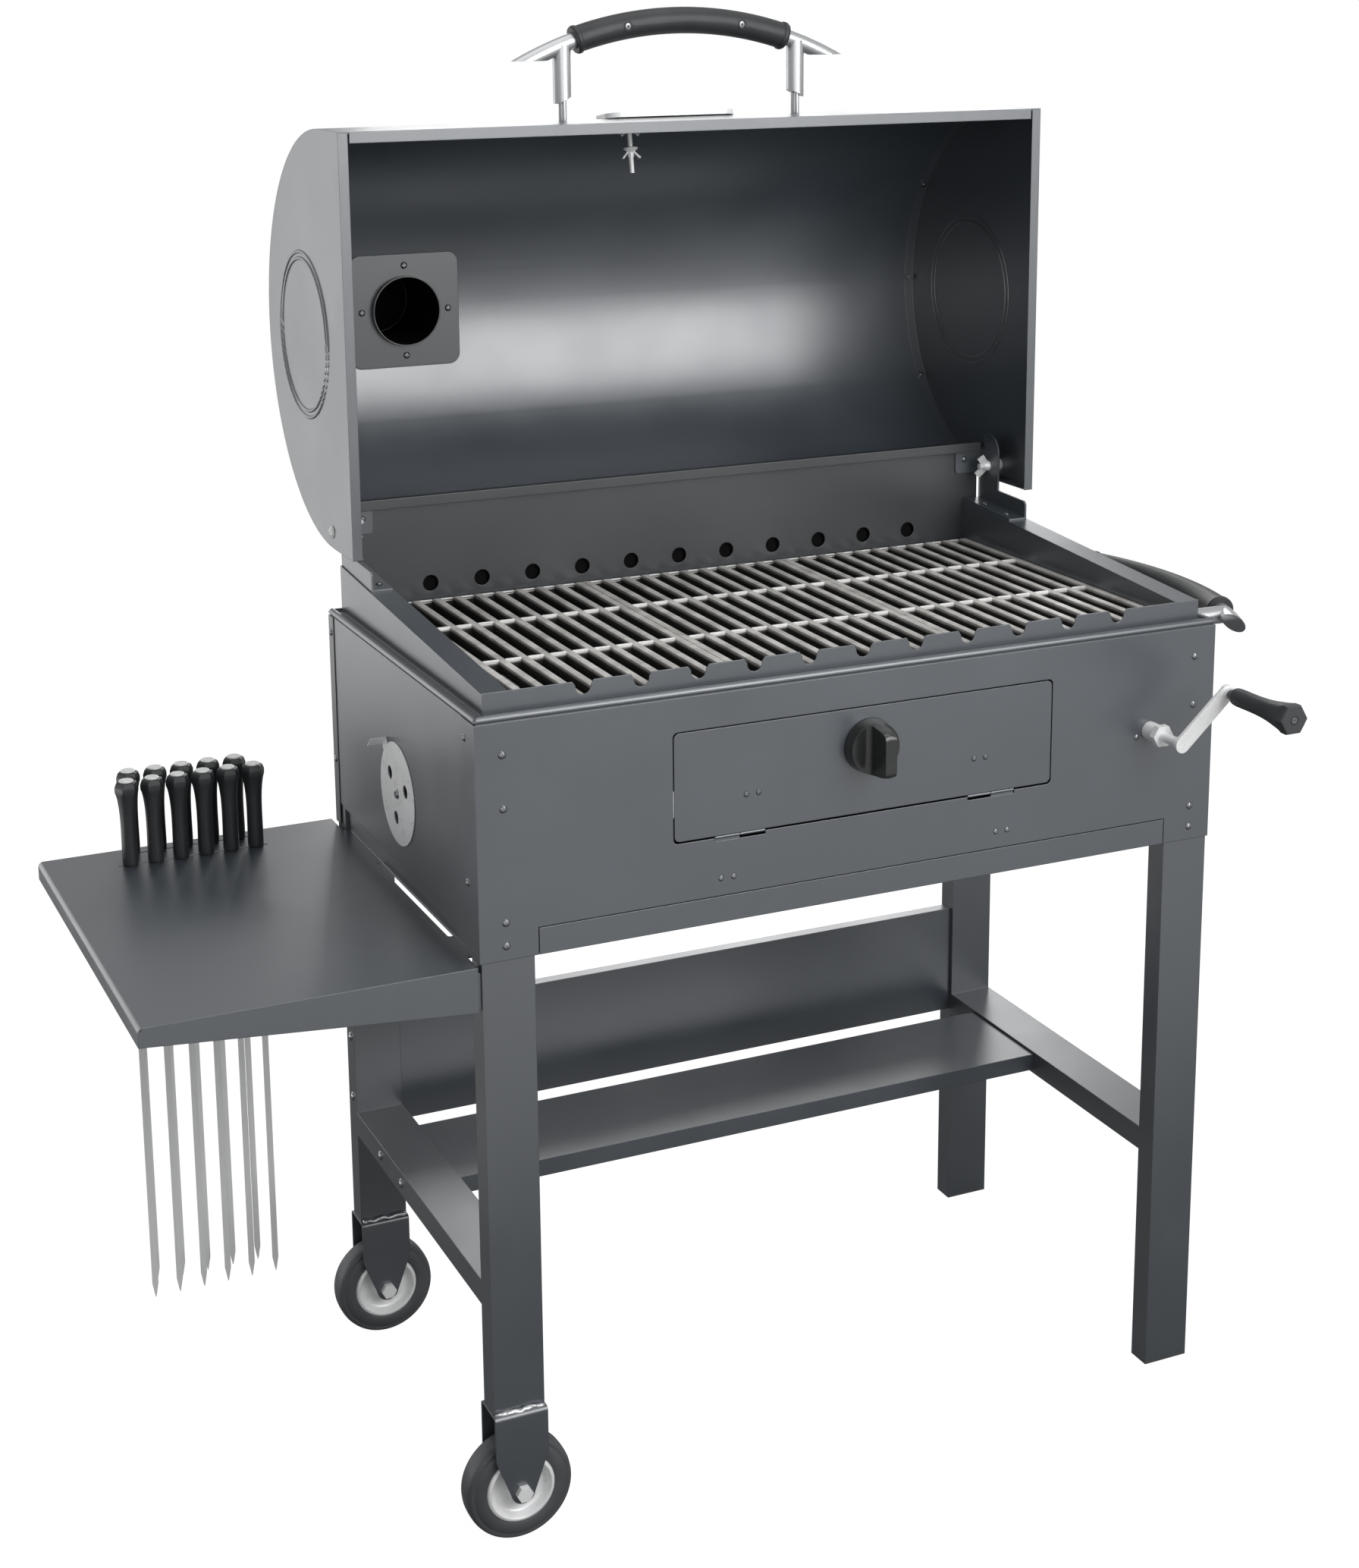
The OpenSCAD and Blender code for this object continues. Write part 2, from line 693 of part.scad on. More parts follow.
module side_table() {
    r = 6;
    color(coat) at_home() difference() {
        union() {
            box([table_x0 + r, 0, table_z - 1.5], [table_x1, table_d, table_z]);
            // rolled outer edge
            difference() {
                rod_along_y(0, table_d, table_x0 + r, table_z - r, r);
                rod_along_y(-1, table_d + 1, table_x0 + r, table_z - r, r - 1.5);
                box([table_x0 + r, -1, table_z - 2 * r - 1],
                    [table_x0 + 2 * r + 1, table_d + 1, table_z + 1]);
                box([table_x0 - 1, -1, table_z - 2 * r - 1], [table_x0 + 2 * r, table_d + 1, table_z - r]);
            }
            box([table_x0, 0, table_side_z[1]], [table_x0 + 1.5, table_d, table_z - r]);
            table_flange(0);
            table_flange(table_d - 1.5);
            // tongue between the legs, turned up against the firebox
            box([table_x1, tongue_y[0], table_z - 1.5], [foot_x, tongue_y[1], table_z]);
            box([foot_x - 1.5, tongue_y[0], table_z - 1.5], [foot_x, tongue_y[1], table_z + 25]);
            // arms bolted to the legs
            for (y = [4, leg_y[1] + 4])
                box([table_x1, y, table_side_z[0] + 2], [leg_x[0], y + 22, table_z - 8]);
            for (y = [0, table_d - 18])
                box([table_x1 - 1.5, y, table_side_z[0]], [table_x1, y + 18, table_z - 1]);
            box([table_x1 - 1.5, leg_y[1], table_side_z[0]], [table_x1, table_d, table_z - 1]);
        }
        for (k = [0, 1]) {
            x0 = row_x[k] - 14;
            x1 = row_x[k] + (row_count[k] - 1) * row_pitch[k] + 14;
            box([x0, row_y[k] - slot_w / 2, table_z - 4], [x1, row_y[k] + slot_w / 2, table_z + 1]);
        }
        // slot along the tongue's bend
        translate([foot_x - 9, tongue_y[0] + 64, table_z - 4]) linear_extrude(6) rounded_rect(6.5, 255, 3.2);
    }
}

// handle bracket lying along X with its feet on Z = 0: an arched bar with cut-off horns on two posts
module handle_bracket() {
    cz = handle_rise - handle_arc_r;
    post_top = cz + sqrt(pow(handle_arc_r, 2) - pow(handle_span, 2));
    difference() {
        union() {
            intersection() {
                translate([0, 0, cz]) rotate([90, 0, 0]) rotate([0, 0, 60])
                    rotate_extrude(angle = 60, $fn = 240) translate([handle_arc_r, 0]) circle(10, $fn = 32);
                box([-300, -20, handle_cut], [300, 20, 200]);
            }
            for (s = [-1, 1]) translate([s * handle_span, 0, 20]) cylinder(r = 11, h = post_top - 20);
        }
        // the posts' feet are cut at a slant
        for (s = [-1, 1]) translate([s * handle_span, 0, 24]) rotate([0, s * 25, 0])
            translate([-40, -40, -40]) cube([80, 80, 40]);
    }
    for (s = [-1, 1], dy = [-5, 5]) translate([s * handle_span, dy, -8]) cylinder(r = 3, h = 48);
}

module handle_grip() {
    cz = handle_rise - handle_arc_r;
    translate([0, 0, cz]) rotate([90, 0, 0]) rotate([0, 0, 90 - 17.7]) rotate_extrude(angle = 35.4, $fn = 240)
        translate([handle_arc_r, 0]) difference() {
            circle(16, $fn = 40);
            circle(10.05, $fn = 32);
        }
}

module on_right_side() {
    translate([firebox_w, firebox_d / 2, side_handle_z]) rotate([0, 90, 0]) rotate([0, 0, 90]) children();
}

module on_lid() {
    translate([firebox_w / 2, lid_handle_y, lid_top]) children();
}

module side_handle_grip() {
    color(black) at_home() on_right_side() handle_grip();
}

module side_handle_bracket() {
    color(satin) at_home() on_right_side() handle_bracket();
}

// ---- bearings, runners and screws ----

// boss on a plate behind a panel; s points into the firebox
module shaft_bearing(x, y, s) {
    difference() {
        union() {
            rod_along_y(min(y, y + s * 13), max(y, y + s * 13), x, shaft_z, 11);
            along_y(min(y, y + s * 2), 2) translate([x - 27, shaft_z - 16]) rounded_rect(62, 30, 5);
        }
        rod_along_y(y - 30, y + 30, x, shaft_z, shaft_r + 0.05);
        for (dx = bearing_screw_dx) rod_along_y(y - 5, y + 5, x + dx, shaft_z - 6, 2.05);
    }
}

module shaft_bearings() {
    rear_y = firebox_d - sheet;
    color(zinc) at_home() {
        for (x = lift_x) {
            shaft_bearing(x, sheet, 1);
            shaft_bearing(x, rear_y, -1);
        }
        // sleeve of the crank's bearing outside the front panel
        difference() {
            rod_along_y(-18, sheet, crank_x, shaft_z, 11);
            rod_along_y(-30, 30, crank_x, shaft_z, shaft_r + 0.05);
        }
    }
}

module drawer_runners() {
    color(coat) at_home() for (m = [0, 1]) translate([m * firebox_w, 0, 0]) mirror([m, 0, 0]) {
        x = inner_x[0];
        z = firebox_bottom - 0.2;
        box([x, leg_y[0] + 4, z - 1.5], [x + 17, leg_y[1] + leg_d - 2, z]);
        box([x, leg_y[0] + 4, z - 1.5], [x + 1.5, leg_y[1] + leg_d - 2, z + 14]);
    }
}

module body_screws() {
    color(zinc) at_home() {
        for (x = screw_cols, z = screw_rows) {
            translate([x, 0, z]) rotate([90, 0, 0]) screw(screw_r, sheet + tube, 4.6);
            translate([x, firebox_d, z]) rotate([-90, 0, 0]) screw(screw_r, sheet + tube, 4.6);
        }
        for (y = wrap_screw_y, z = wrap_screw_z) {
            translate([0, y, z]) rotate([0, -90, 0]) screw(screw_r, 2 * sheet, 4.6);
            translate([firebox_w, y, z]) rotate([0, 90, 0]) screw(screw_r, 2 * sheet, 4.6);
        }
        for (dx = bearing_screw_dx) translate([crank_x + dx, 0, shaft_z - 6]) rotate([90, 0, 0]) screw(2, 3, 4);
        for (x = leaf_x, dx = leaf_screw_dx)
            translate([x + dx, 0, door_z - 47]) rotate([90, 0, 0]) screw(2, 2.4, 3.6);
        for (y = shelf_bolt_y) {
            translate([leg_x[0], y, rail_z + rail_h / 2]) rotate([0, -90, 0]) screw(3, leg_w + 1.5, 6);
            translate([leg_x[1] + leg_w, y, rail_z + rail_h / 2]) rotate([0, 90, 0]) screw(3, leg_w + 1.5, 6);
        }
        for (z = back_bolt_z) {
            translate([leg_x[0], back_bolt_y, z]) rotate([0, -90, 0]) screw(3, leg_w + 1.5, 6);
            translate([leg_x[1] + leg_w, back_bolt_y, z]) rotate([0, 90, 0]) screw(3, leg_w + 1.5, 6);
        }
        for (m = [0, 1]) translate([m * firebox_w, 0, 0]) mirror([m, 0, 0]) {
            for (y = foot_screw_y) translate([33, y, rim_z(y) + bracket_t + 0.35]) screw(2, 6, 4);
            translate([44, back_wall_y - bracket_t, tab_screw_z])
                rotate([90, 0, 0]) screw(2, bracket_t + sheet, 4);
        }
        // pivot rivet of the air damper
        rod_along_x(-1.2, 2 * sheet, damper_y, damper_z, 3);
        translate([-0.6, damper_y, damper_z]) rotate([0, -90, 0]) cylinder(r1 = 6, r2 = 4, h = 2);
    }
}

// ---- air damper ----

damper_angles = [37, 160, 282];

module damper_hole(a) {
    rod_along_x(-3, 6, damper_y + damper_ring * cos(a), damper_z + damper_ring * sin(a), damper_hole_r);
}

module damper_disc() {
    color(zinc) at_home() difference() {
        union() {
            rod_along_x(-0.2, 0.8, damper_y, damper_z, damper_r);
            translate([0, damper_y, damper_z]) rotate([50, 0, 0]) {
                box([-0.2, damper_r - 4, -9], [0.8, damper_r + 8, 9]);
                box([-18, damper_r + 7, -9], [0.8, damper_r + 8, 9]);
            }
        }
        for (a = damper_angles) damper_hole(a);
        rod_along_x(-1, 2, damper_y, damper_z, 3.06);
    }
}

// ---- charcoal door ----

module door_panel() {
    color(coat) at_home() difference() {
        along_y(0, sheet) translate([door_x + 1.5, door_z + door_gap])
            rounded_rect(door_w - 3, door_h - door_gap - 1.5, 6);
        rod_along_y(-1, 3, knob_x, knob_z, 4.06);
        for (x = strap_x, dx = strap_screw_dx) rod_along_y(-1, 3, x + dx, door_z + 45, 2.05);
    }
}

module hinge_axis_rod(x0, x1, r) {
    rod_along_x(x0, x1, hinge_y, door_z + 0.2, r);
}

// leaves riveted below the opening, with the pin that their knuckles hold
module door_hinge_leaves() {
    color(zinc) at_home() for (k = [0, 1]) {
        x = leaf_x[k];
        difference() {
            union() {
                hinge_axis_rod(x, x + 30, knuckle_r);
                box([x, sheet, door_z - 55], [x + 30, 2 * sheet, door_z + 0.2]);
            }
            for (dx = leaf_screw_dx) rod_along_y(-1, 5, x + dx, door_z - 47, 2.05);
        }
        hinge_axis_rod(k == 0 ? x + 29 : strap_x[k] - 0.5, k == 0 ? strap_x[k] + 31 : x + 1, hinge_pin_r);
    }
}

module door_hinge_straps() {
    color(zinc) at_home() for (x = strap_x) {
        difference() {
            union() {
                hinge_axis_rod(x, x + 30, knuckle_r);
                box([x, sheet, door_z + 0.2], [x + 30, 2 * sheet, door_z + 54]);
            }
            hinge_axis_rod(x - 1, x + 31, hinge_pin_r + 0.06);
            for (dx = strap_screw_dx) rod_along_y(-1, 5, x + dx, door_z + 45, 2.05);
        }
        for (dx = strap_screw_dx) translate([x + dx, 0, door_z + 45]) rotate([90, 0, 0]) screw(2, 2.4, 3.6);
    }
}

module door_knob() {
    color(black) at_home() difference() {
        union() {
            rod_along_y(-4, -0.6, knob_x, knob_z, knob_d / 2);
            intersection() {
                rod_along_y(-24, -3, knob_x, knob_z, knob_d / 2 - 1);
                box([knob_x - 7, -24, knob_z - knob_d], [knob_x + 7, -3, knob_z + knob_d]);
            }
            rod_along_y(-7, -3, knob_x, knob_z, 16);
        }
        rod_along_y(-12, 1, knob_x, knob_z, 4);
    }
}

// spindle through the door and the tongue that turns up behind the panel
module latch_tongue() {
    color(zinc) at_home() {
        rod_along_y(-12, 7, knob_x, knob_z, 4);
        along_y(sheet + 1.8, 2) {
            translate([knob_x - 9, knob_z - 9]) rounded_rect(66, 18, 8.9);
        }
    }
}

// ---- charcoal tray lift ----

// flat web between two centres, in a plane across Y
module web(from, to, y0, t, r) {
    reach = norm(to - from);
    translate([from[0], y0 + t, from[1]]) rotate([90, -atan2(to[1] - from[1], to[0] - from[0]), 0])
        linear_extrude(t) {
            translate([0, -r]) square([reach, 2 * r]);
            circle(r);
            translate([reach, 0]) circle(r);
        }
}

web_y = [30, firebox_d - 38];
link_arm_y = firebox_d - 30;
link_bar_y = firebox_d - 23;

// bent lift shaft: two stubs, two webs, the rod under the tray and the arm for the link bar
module lift_shaft(k, front_y) {
    axis = [lift_x[k], shaft_z];
    rod = [rod_x[k], rod_z];
    pin = [link_x[k], link_z];
    rod_along_y(front_y, web_y[0] + 1, axis[0], axis[1], shaft_r);
    rod_along_y(web_y[1] + 5, firebox_d - 2, axis[0], axis[1], shaft_r);
    for (y = web_y) web(axis, rod, y, 6, 9);
    rod_along_y(web_y[0] + 3, web_y[1] + 3, rod[0], rod[1], rod_r);
    web(axis, pin, link_arm_y, 5, 8);
    rod_along_y(link_arm_y, link_bar_y + 7, pin[0], pin[1], 4);
}

module right_lift_shaft() {
    color(zinc) at_home() {
        lift_shaft(1, -56);
        translate([crank_x, -19, shaft_z]) rotate([90, 0, 0]) hex_nut(24, 9);
    }
}

module left_lift_shaft() {
    color(zinc) at_home() lift_shaft(0, sheet + 1);
}

module link_bar() {
    color(zinc) at_home() difference() {
        web([link_x[0], link_z], [link_x[1], link_z], link_bar_y, 5, 9);
        rod_along_y(link_bar_y - 1, link_bar_y + 6, link_x[1], link_z, 4.06);
        rod_along_y(link_bar_y - 1, link_bar_y + 6, link_x[0], link_z, 4.6);
    }
}

// flat arm that turns up from the shaft, with the spindle that carries the grip
module crank_arm() {
    color(zinc) at_home() {
        web([crank_x, shaft_z], [grip_x, grip_z], arm_y, 5, 9.5);
        rod_along_y(arm_y, -56, crank_x, shaft_z, 8);
        rod_along_y(arm_y - 3.6, arm_y + 1, grip_x, grip_z, 7);
        rod_along_y(grip_end_y + 3, arm_y + 1, grip_x, grip_z, 4);
        rod_along_y(grip_end_y + 2, grip_end_y + 6, grip_x, grip_z, 6);
    }
}

module crank_grip() {
    color(black) at_home() difference() {
        translate([grip_x, arm_y - 4, grip_z]) rotate([90, 0, 0]) flared_hex(crank_grip_len, 11.5, 33);
        rod_along_y(grip_end_y - 1, arm_y, grip_x, grip_z, 4.06);
        rod_along_y(grip_end_y - 1, grip_end_y + 8, grip_x, grip_z, 6.5);
    }
}

module coal_tray() {
    eye_y = [tray_y0 + 30, tray_y1 - 42];
    color("#2b2c2e") at_home() difference() {
        union() {
            difference() {
                box([tray_x0, tray_y0, tray_z], [tray_x0 + tray_w, tray_y1, tray_z + tray_h]);
                box([tray_x0 + 1.5, tray_y0 + 1.5, tray_z + 1.5],
                    [tray_x0 + tray_w - 1.5, tray_y1 - 1.5, tray_z + tray_h + 1]);
            }
            for (x = rod_x, y = eye_y) {
                rod_along_y(y, y + 12, x, rod_z, 11);
                box([x - 11, y, rod_z], [x + 11, y + 12, tray_z + 1.5]);
            }
        }
        translate([0, 0, tray_z - 1]) linear_extrude(4)
            for (i = [0 : 8], j = [0 : 3])
                translate([tray_x0 + 42 + i * 78, tray_y0 + 62 + j * 82]) square([52, 12]);
        rod_along_y(tray_y0 - 1, tray_y1 + 1, rod_x[1], rod_z, rod_r + 0.06);
        rod_along_y(tray_y0 - 1, tray_y1 + 1, rod_x[0], rod_z, rod_r + 0.6);
    }
}

// ---- ash drawer ----

module ash_drawer() {
    z0 = firebox_bottom;
    color(coat) at_home() {
        box([drawer_x0, 0, z0], [drawer_x1, sheet, drawer_top]);
        difference() {
            box([drawer_x0 + 2, sheet, z0], [drawer_x1 - 2, drawer_d, drawer_top - 3]);
            box([drawer_x0 + 3.2, sheet, z0 + sheet], [drawer_x1 - 3.2, drawer_d - sheet, drawer_top]);
        }
    }
}

// ---- lid ----

// the lid's end outline, drawn in Y and Z, set in by d
module lid_outline(d) {
    translate([lid_front_y, lid_cz - lid_r + d]) square([lid_skirt, 2 * (lid_r - d)]);
    intersection() {
        translate([lid_cy, lid_cz]) circle(lid_r - d, $fn = 160);
        translate([lid_cy - 1, lid_cz - lid_r]) square([lid_r + 2, 2 * lid_r]);
    }
}

seam_angles = [72, 33, 0, -33, -66];

module seam_holes(x) {
    for (a = seam_angles) translate([x, lid_cy, lid_cz]) rotate([a, 0, 0])
        translate([0, lid_r - 8, 0]) rotate([-90, 0, 0]) cylinder(r = 2.05, h = 12);
}

module lid_shell() {
    color(coat) at_home() difference() {
        union() {
            along_x(sheet, firebox_w - 2 * sheet) difference() {
                lid_outline(0);
                lid_outline(sheet);
                translate([lid_front_y - 1, lid_cz - lid_r - 1]) square([shell_end_y - lid_front_y + 1, lid_r]);
            }
            // front lip, folded in and rounded over
            box([14, lid_front_y, lid_top - lip_h], [firebox_w - 14, lid_front_y + sheet, lid_top - 1]);
            rod_along_x(14, firebox_w - 14, lid_front_y + 1, lid_top - 1, 1);
        }
        for (x = [9, firebox_w - 9]) seam_holes(x);
        rod_along_y(lid_cy, lid_cy + lid_r + 5, chimney_x, lid_cz, chimney_d / 2 + 0.3);
        for (a = [0 : 90 : 270]) rod_along_y(lid_cy, lid_cy + lid_r + 5,
            chimney_x + 58 * cos(a), lid_cz + 58 * sin(a), 2.55);
        thermometer_place() cylinder(r = 4.1, h = 2 * lid_r);
        for (s = [-1, 1], dy = [-5, 5])
            translate([firebox_w / 2 + s * handle_span, lid_handle_y + dy, lid_top - 6])
                cylinder(r = 3.05, h = 12);
    }
}

module end_plate() {
    difference() {
        union() {
            along_x(0, sheet) lid_outline(0);
            along_x(sheet, flange_x - sheet) difference() {
                lid_outline(sheet);
                lid_outline(2 * sheet);
            }
            box([0, lid_front_y, lid_cz - lid_r], [12, lid_front_y + sheet, lid_top - sheet]);
            for (d = [0, 16]) translate([0.4, lid_cy + 93, lid_cz - 2]) rotate([0, 90, 0])
                rotate_extrude() translate([(ring_d - d) / 2, 0]) circle(2.2);
        }
        seam_holes(9);
        rod_along_x(-1, 3, pivot_y, pivot_z, pivot_r + running);
    }
}

module lid_end_plates() {
    color(pale_coat) at_home() {
        end_plate();
        translate([firebox_w, 0, 0]) mirror([1, 0, 0]) end_plate();
    }
}

module lid_handle_grip() {
    color(black) at_home() on_lid() handle_grip();
}

module lid_handle_bracket() {
    color(satin) at_home() on_lid() handle_bracket();
}

// middle of the barrel, turned so that +Z runs out through the thermometer
module thermometer_place() {
    translate([firebox_w / 2 - 60, lid_cy, lid_cz]) rotate([-8.6, 0, 0]) children();
}

module thermometer() {
    color(zinc) at_home() thermometer_place() {
        difference() {
            translate([-37, -29, lid_r]) linear_extrude(bezel_h) rounded_rect(174, 58, 20);
            translate([0, 0, lid_r + bezel_h - 2.5]) cylinder(r = 24, h = 10);
        }
        translate([0, 0, lid_r + 1]) cylinder(r = 23, h = bezel_h - 2);
        translate([0, 0, lid_r - 66]) cylinder(r = 3, h = 70);
    }
}

module chimney_pipe() {
    color(coat) at_home() difference() {
        union() {
            rod_along_y(plate_y - 8, chimney_end, chimney_x, lid_cz, chimney_d / 2);
            along_y(plate_y, sheet) translate([chimney_x - chimney_plate / 2, lid_cz - chimney_plate / 2])
                rounded_rect(chimney_plate, chimney_plate, 14);
            // ear and rivet that carry the cap
            box([chimney_x - 9, chimney_end - 4, lid_cz + chimney_d / 2 - 3],
                [chimney_x + 9, chimney_end, lid_cz + chimney_d / 2 + 15]);
            rod_along_y(chimney_end - 1, chimney_end + 4, chimney_x, lid_cz + chimney_d / 2 + 7, 3);
            rod_along_y(chimney_end + 2.4, chimney_end + 5.5, chimney_x, lid_cz + chimney_d / 2 + 7, 6);
        }
        rod_along_y(plate_y - 9, chimney_end + 1, chimney_x, lid_cz, chimney_d / 2 - 1.5);
        for (a = [0 : 90 : 270]) rod_along_y(plate_y - 2, plate_y + 3,
            chimney_x + 58 * cos(a), lid_cz + 58 * sin(a), 2.55);
    }
}

module chimney_cap() {
    color(coat) at_home() difference() {
        union() {
            rod_along_y(chimney_end + 0.4, chimney_end + 2, chimney_x, lid_cz, chimney_d / 2 + 2);
            along_y(chimney_end + 0.4, 1.6) translate([chimney_x - 10, lid_cz])
                rounded_rect(20, chimney_d / 2 + 17, 6);
        }
        rod_along_y(chimney_end - 1, chimney_end + 4, chimney_x, lid_cz + chimney_d / 2 + 7, 3.06);
    }
}

// wing nut pointing along +Z
module wing_nut(bore) {
    difference() {
        union() {
            cylinder(r1 = 7, r2 = 5, h = 8);
            for (s = [-1, 1])
                translate([0, 0, 3]) rotate([0, s * 50, 0]) translate([-5, -1.5, 4]) cube([10, 3, 14]);
        }
        translate([0, 0, -1]) cylinder(r = bore, h = 30);
    }
}

// bolt that the lid turns on, with its spacer and wing nut, clamped in the hinge bracket
module pivot_bolt() {
    translate([-0.3, pivot_y, pivot_z]) rotate([0, -90, 0]) screw(pivot_r, 34, 8);
    difference() {
        rod_along_x(sheet + 0.3, bracket_x, pivot_y, pivot_z, 8);
        rod_along_x(0, 30, pivot_y, pivot_z, pivot_r + 0.02);
    }
    translate([bracket_x + bracket_t, pivot_y, pivot_z]) rotate([20, 0, 0]) rotate([0, 90, 0])
        wing_nut(pivot_r + 0.02);
}

module lid_pivot_bolts() {
    color(zinc) at_home() {
        pivot_bolt();
        translate([firebox_w, 0, 0]) mirror([1, 0, 0]) pivot_bolt();
    }
}

module seam_screws(x) {
    for (a = seam_angles) translate([x, lid_cy, lid_cz]) rotate([a, 0, 0]) translate([0, lid_r, 0])
        rotate([-90, 0, 0]) {
            screw(2, 8, 4);
            translate([0, 0, -2 * sheet - 4]) difference() {
                hex_nut(7, 3.8);
                translate([0, 0, -1]) cylinder(r = 2.02, h = 8);
            }
        }
}

module lid_fasteners() {
    color(zinc) at_home() {
        for (x = [9, firebox_w - 9]) seam_screws(x);
        for (a = [0 : 90 : 270])
            translate([chimney_x + 58 * cos(a), plate_y, lid_cz + 58 * sin(a)])
                rotate([90, 0, 0]) screw(2.5, 22, 4.5);
        thermometer_place() translate([0, 0, lid_r - sheet - 2]) mirror([0, 0, 1]) wing_nut(3.05);
        // nuts that hold the handle's studs
        for (s = [-1, 1], dy = [-5, 5])
            translate([firebox_w / 2 + s * handle_span, lid_handle_y + dy, lid_top - 6.8]) difference() {
                cylinder(r = 4.6, h = 4.2);
                translate([0, 0, -1]) cylinder(r = 3.02, h = 7);
            }
    }
}

// ---- skewers ----

module skewer(i) {
    k = i < row_count[0] ? 0 : 1;
    x = row_x[k] + (i - k * row_count[0]) * row_pitch[k];
    color(black) at_home() translate([x, row_y[k], table_z + 0.02]) {
        flared_hex(handle_len, 9.5, 25);
        translate([0, 0, handle_len - 1]) cylinder(r = 7.5, h = 1.8);
        translate([0, 0.8, 0]) rotate([90, 0, 0]) linear_extrude(1.6)
            polygon([[-5, 2], [5, 2], [5, -blade_len + 18], [0, -blade_len], [-5, -blade_len + 18]]);
    }
}

front_panel();
left_side_panel();
right_side_panel();
rear_panel();
top_rim();
rear_wall();
hinge_brackets();
grate(0);  // grate_left
grate(1);  // grate_middle
grate(2);  // grate_right
left_leg_frame();
right_leg_frame();
lower_back_panel();
bottom_shelf();
foot_plugs();
caster_forks();
wheel_axles();
lid_pivot_bolts();
side_table();
side_handle_grip();
side_handle_bracket();
shaft_bearings();
drawer_runners();
door_hinge_leaves();
body_screws();
tyre(0);  // front_tyre
wheel_rim(0);  // front_wheel_rim
tyre(1);  // rear_tyre
wheel_rim(1);  // rear_wheel_rim
damper_disc();
door_panel();
door_hinge_straps();
door_knob();
latch_tongue();
right_lift_shaft();
crank_arm();
crank_grip();
coal_tray();
left_lift_shaft();
link_bar();
ash_drawer();
lid_shell();
lid_end_plates();
lid_handle_grip();
lid_handle_bracket();
thermometer();
chimney_pipe();
lid_fasteners();
chimney_cap();
for (i = [0 : skewer_count - 1])
    skewer(i);
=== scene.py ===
import json
import math

import bpy
from mathutils import Matrix, Vector

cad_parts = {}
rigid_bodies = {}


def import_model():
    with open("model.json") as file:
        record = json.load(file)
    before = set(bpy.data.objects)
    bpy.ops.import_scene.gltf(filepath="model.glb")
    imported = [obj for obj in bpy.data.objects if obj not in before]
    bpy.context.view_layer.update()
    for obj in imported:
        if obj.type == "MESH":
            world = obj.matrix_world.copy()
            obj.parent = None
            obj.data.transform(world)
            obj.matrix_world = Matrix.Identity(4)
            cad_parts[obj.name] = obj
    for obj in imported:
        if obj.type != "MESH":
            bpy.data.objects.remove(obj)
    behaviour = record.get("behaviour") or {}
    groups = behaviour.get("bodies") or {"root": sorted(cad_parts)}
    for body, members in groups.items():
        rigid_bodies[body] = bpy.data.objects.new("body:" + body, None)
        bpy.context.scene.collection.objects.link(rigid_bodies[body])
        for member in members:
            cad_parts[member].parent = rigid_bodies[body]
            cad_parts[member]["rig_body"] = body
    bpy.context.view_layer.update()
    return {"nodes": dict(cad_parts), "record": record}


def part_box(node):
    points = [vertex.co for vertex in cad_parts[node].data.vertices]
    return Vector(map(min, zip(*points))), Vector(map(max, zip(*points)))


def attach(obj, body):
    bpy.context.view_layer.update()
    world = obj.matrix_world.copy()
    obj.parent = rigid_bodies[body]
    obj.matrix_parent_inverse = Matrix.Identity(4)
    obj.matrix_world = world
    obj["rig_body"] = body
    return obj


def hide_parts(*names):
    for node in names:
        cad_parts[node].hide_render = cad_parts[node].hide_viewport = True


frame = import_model()
slotOf = {row["node"]: row["material_slot"] for row in frame["record"]["subparts"]}
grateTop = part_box("grate_middle")[1][2]
print("frame loaded")


# material helpers

def newFinish(name):
    finish = bpy.data.materials.new(name)
    finish.use_nodes = True
    tree = finish.node_tree
    return finish, tree, tree.nodes["Principled BSDF"]


def objectSpace(tree, stretch=(1, 1, 1)):
    coords = tree.nodes.new("ShaderNodeTexCoord")
    mapping = tree.nodes.new("ShaderNodeMapping")
    mapping.inputs["Scale"].default_value = stretch
    tree.links.new(coords.outputs["Object"], mapping.inputs["Vector"])
    return mapping.outputs["Vector"]


def noiseNode(tree, where, scale, detail, rough=0.5):
    noise = tree.nodes.new("ShaderNodeTexNoise")
    noise.inputs["Scale"].default_value = scale
    noise.inputs["Detail"].default_value = detail
    noise.inputs["Roughness"].default_value = rough
    tree.links.new(where, noise.inputs["Vector"])
    return noise.outputs["Fac"]


def rampBetween(tree, factor, low, high, start=0.35, end=0.65):
    ramp = tree.nodes.new("ShaderNodeValToRGB")
    ramp.color_ramp.elements[0].position = start
    ramp.color_ramp.elements[1].position = end
    ramp.color_ramp.elements[0].color = (*low, 1)
    ramp.color_ramp.elements[1].color = (*high, 1)
    tree.links.new(factor, ramp.inputs["Fac"])
    return ramp.outputs["Color"]


def rangeBetween(tree, factor, low, high, start=0.3, end=0.7):
    span = tree.nodes.new("ShaderNodeMapRange")
    span.inputs["From Min"].default_value = start
    span.inputs["From Max"].default_value = end
    span.inputs["To Min"].default_value = low
    span.inputs["To Max"].default_value = high
    tree.links.new(factor, span.inputs["Value"])
    return span.outputs["Result"]


def mathNode(tree, operation, first, second):
    step = tree.nodes.new("ShaderNodeMath")
    step.operation = operation
    for socket, value in zip(step.inputs, (first, second)):
        if isinstance(value, (int, float)):
            socket.default_value = value
        else:
            tree.links.new(value, socket)
    return step.outputs[0]


def shade(colour, gain):
    return tuple(min(1, channel * gain) for channel in colour)


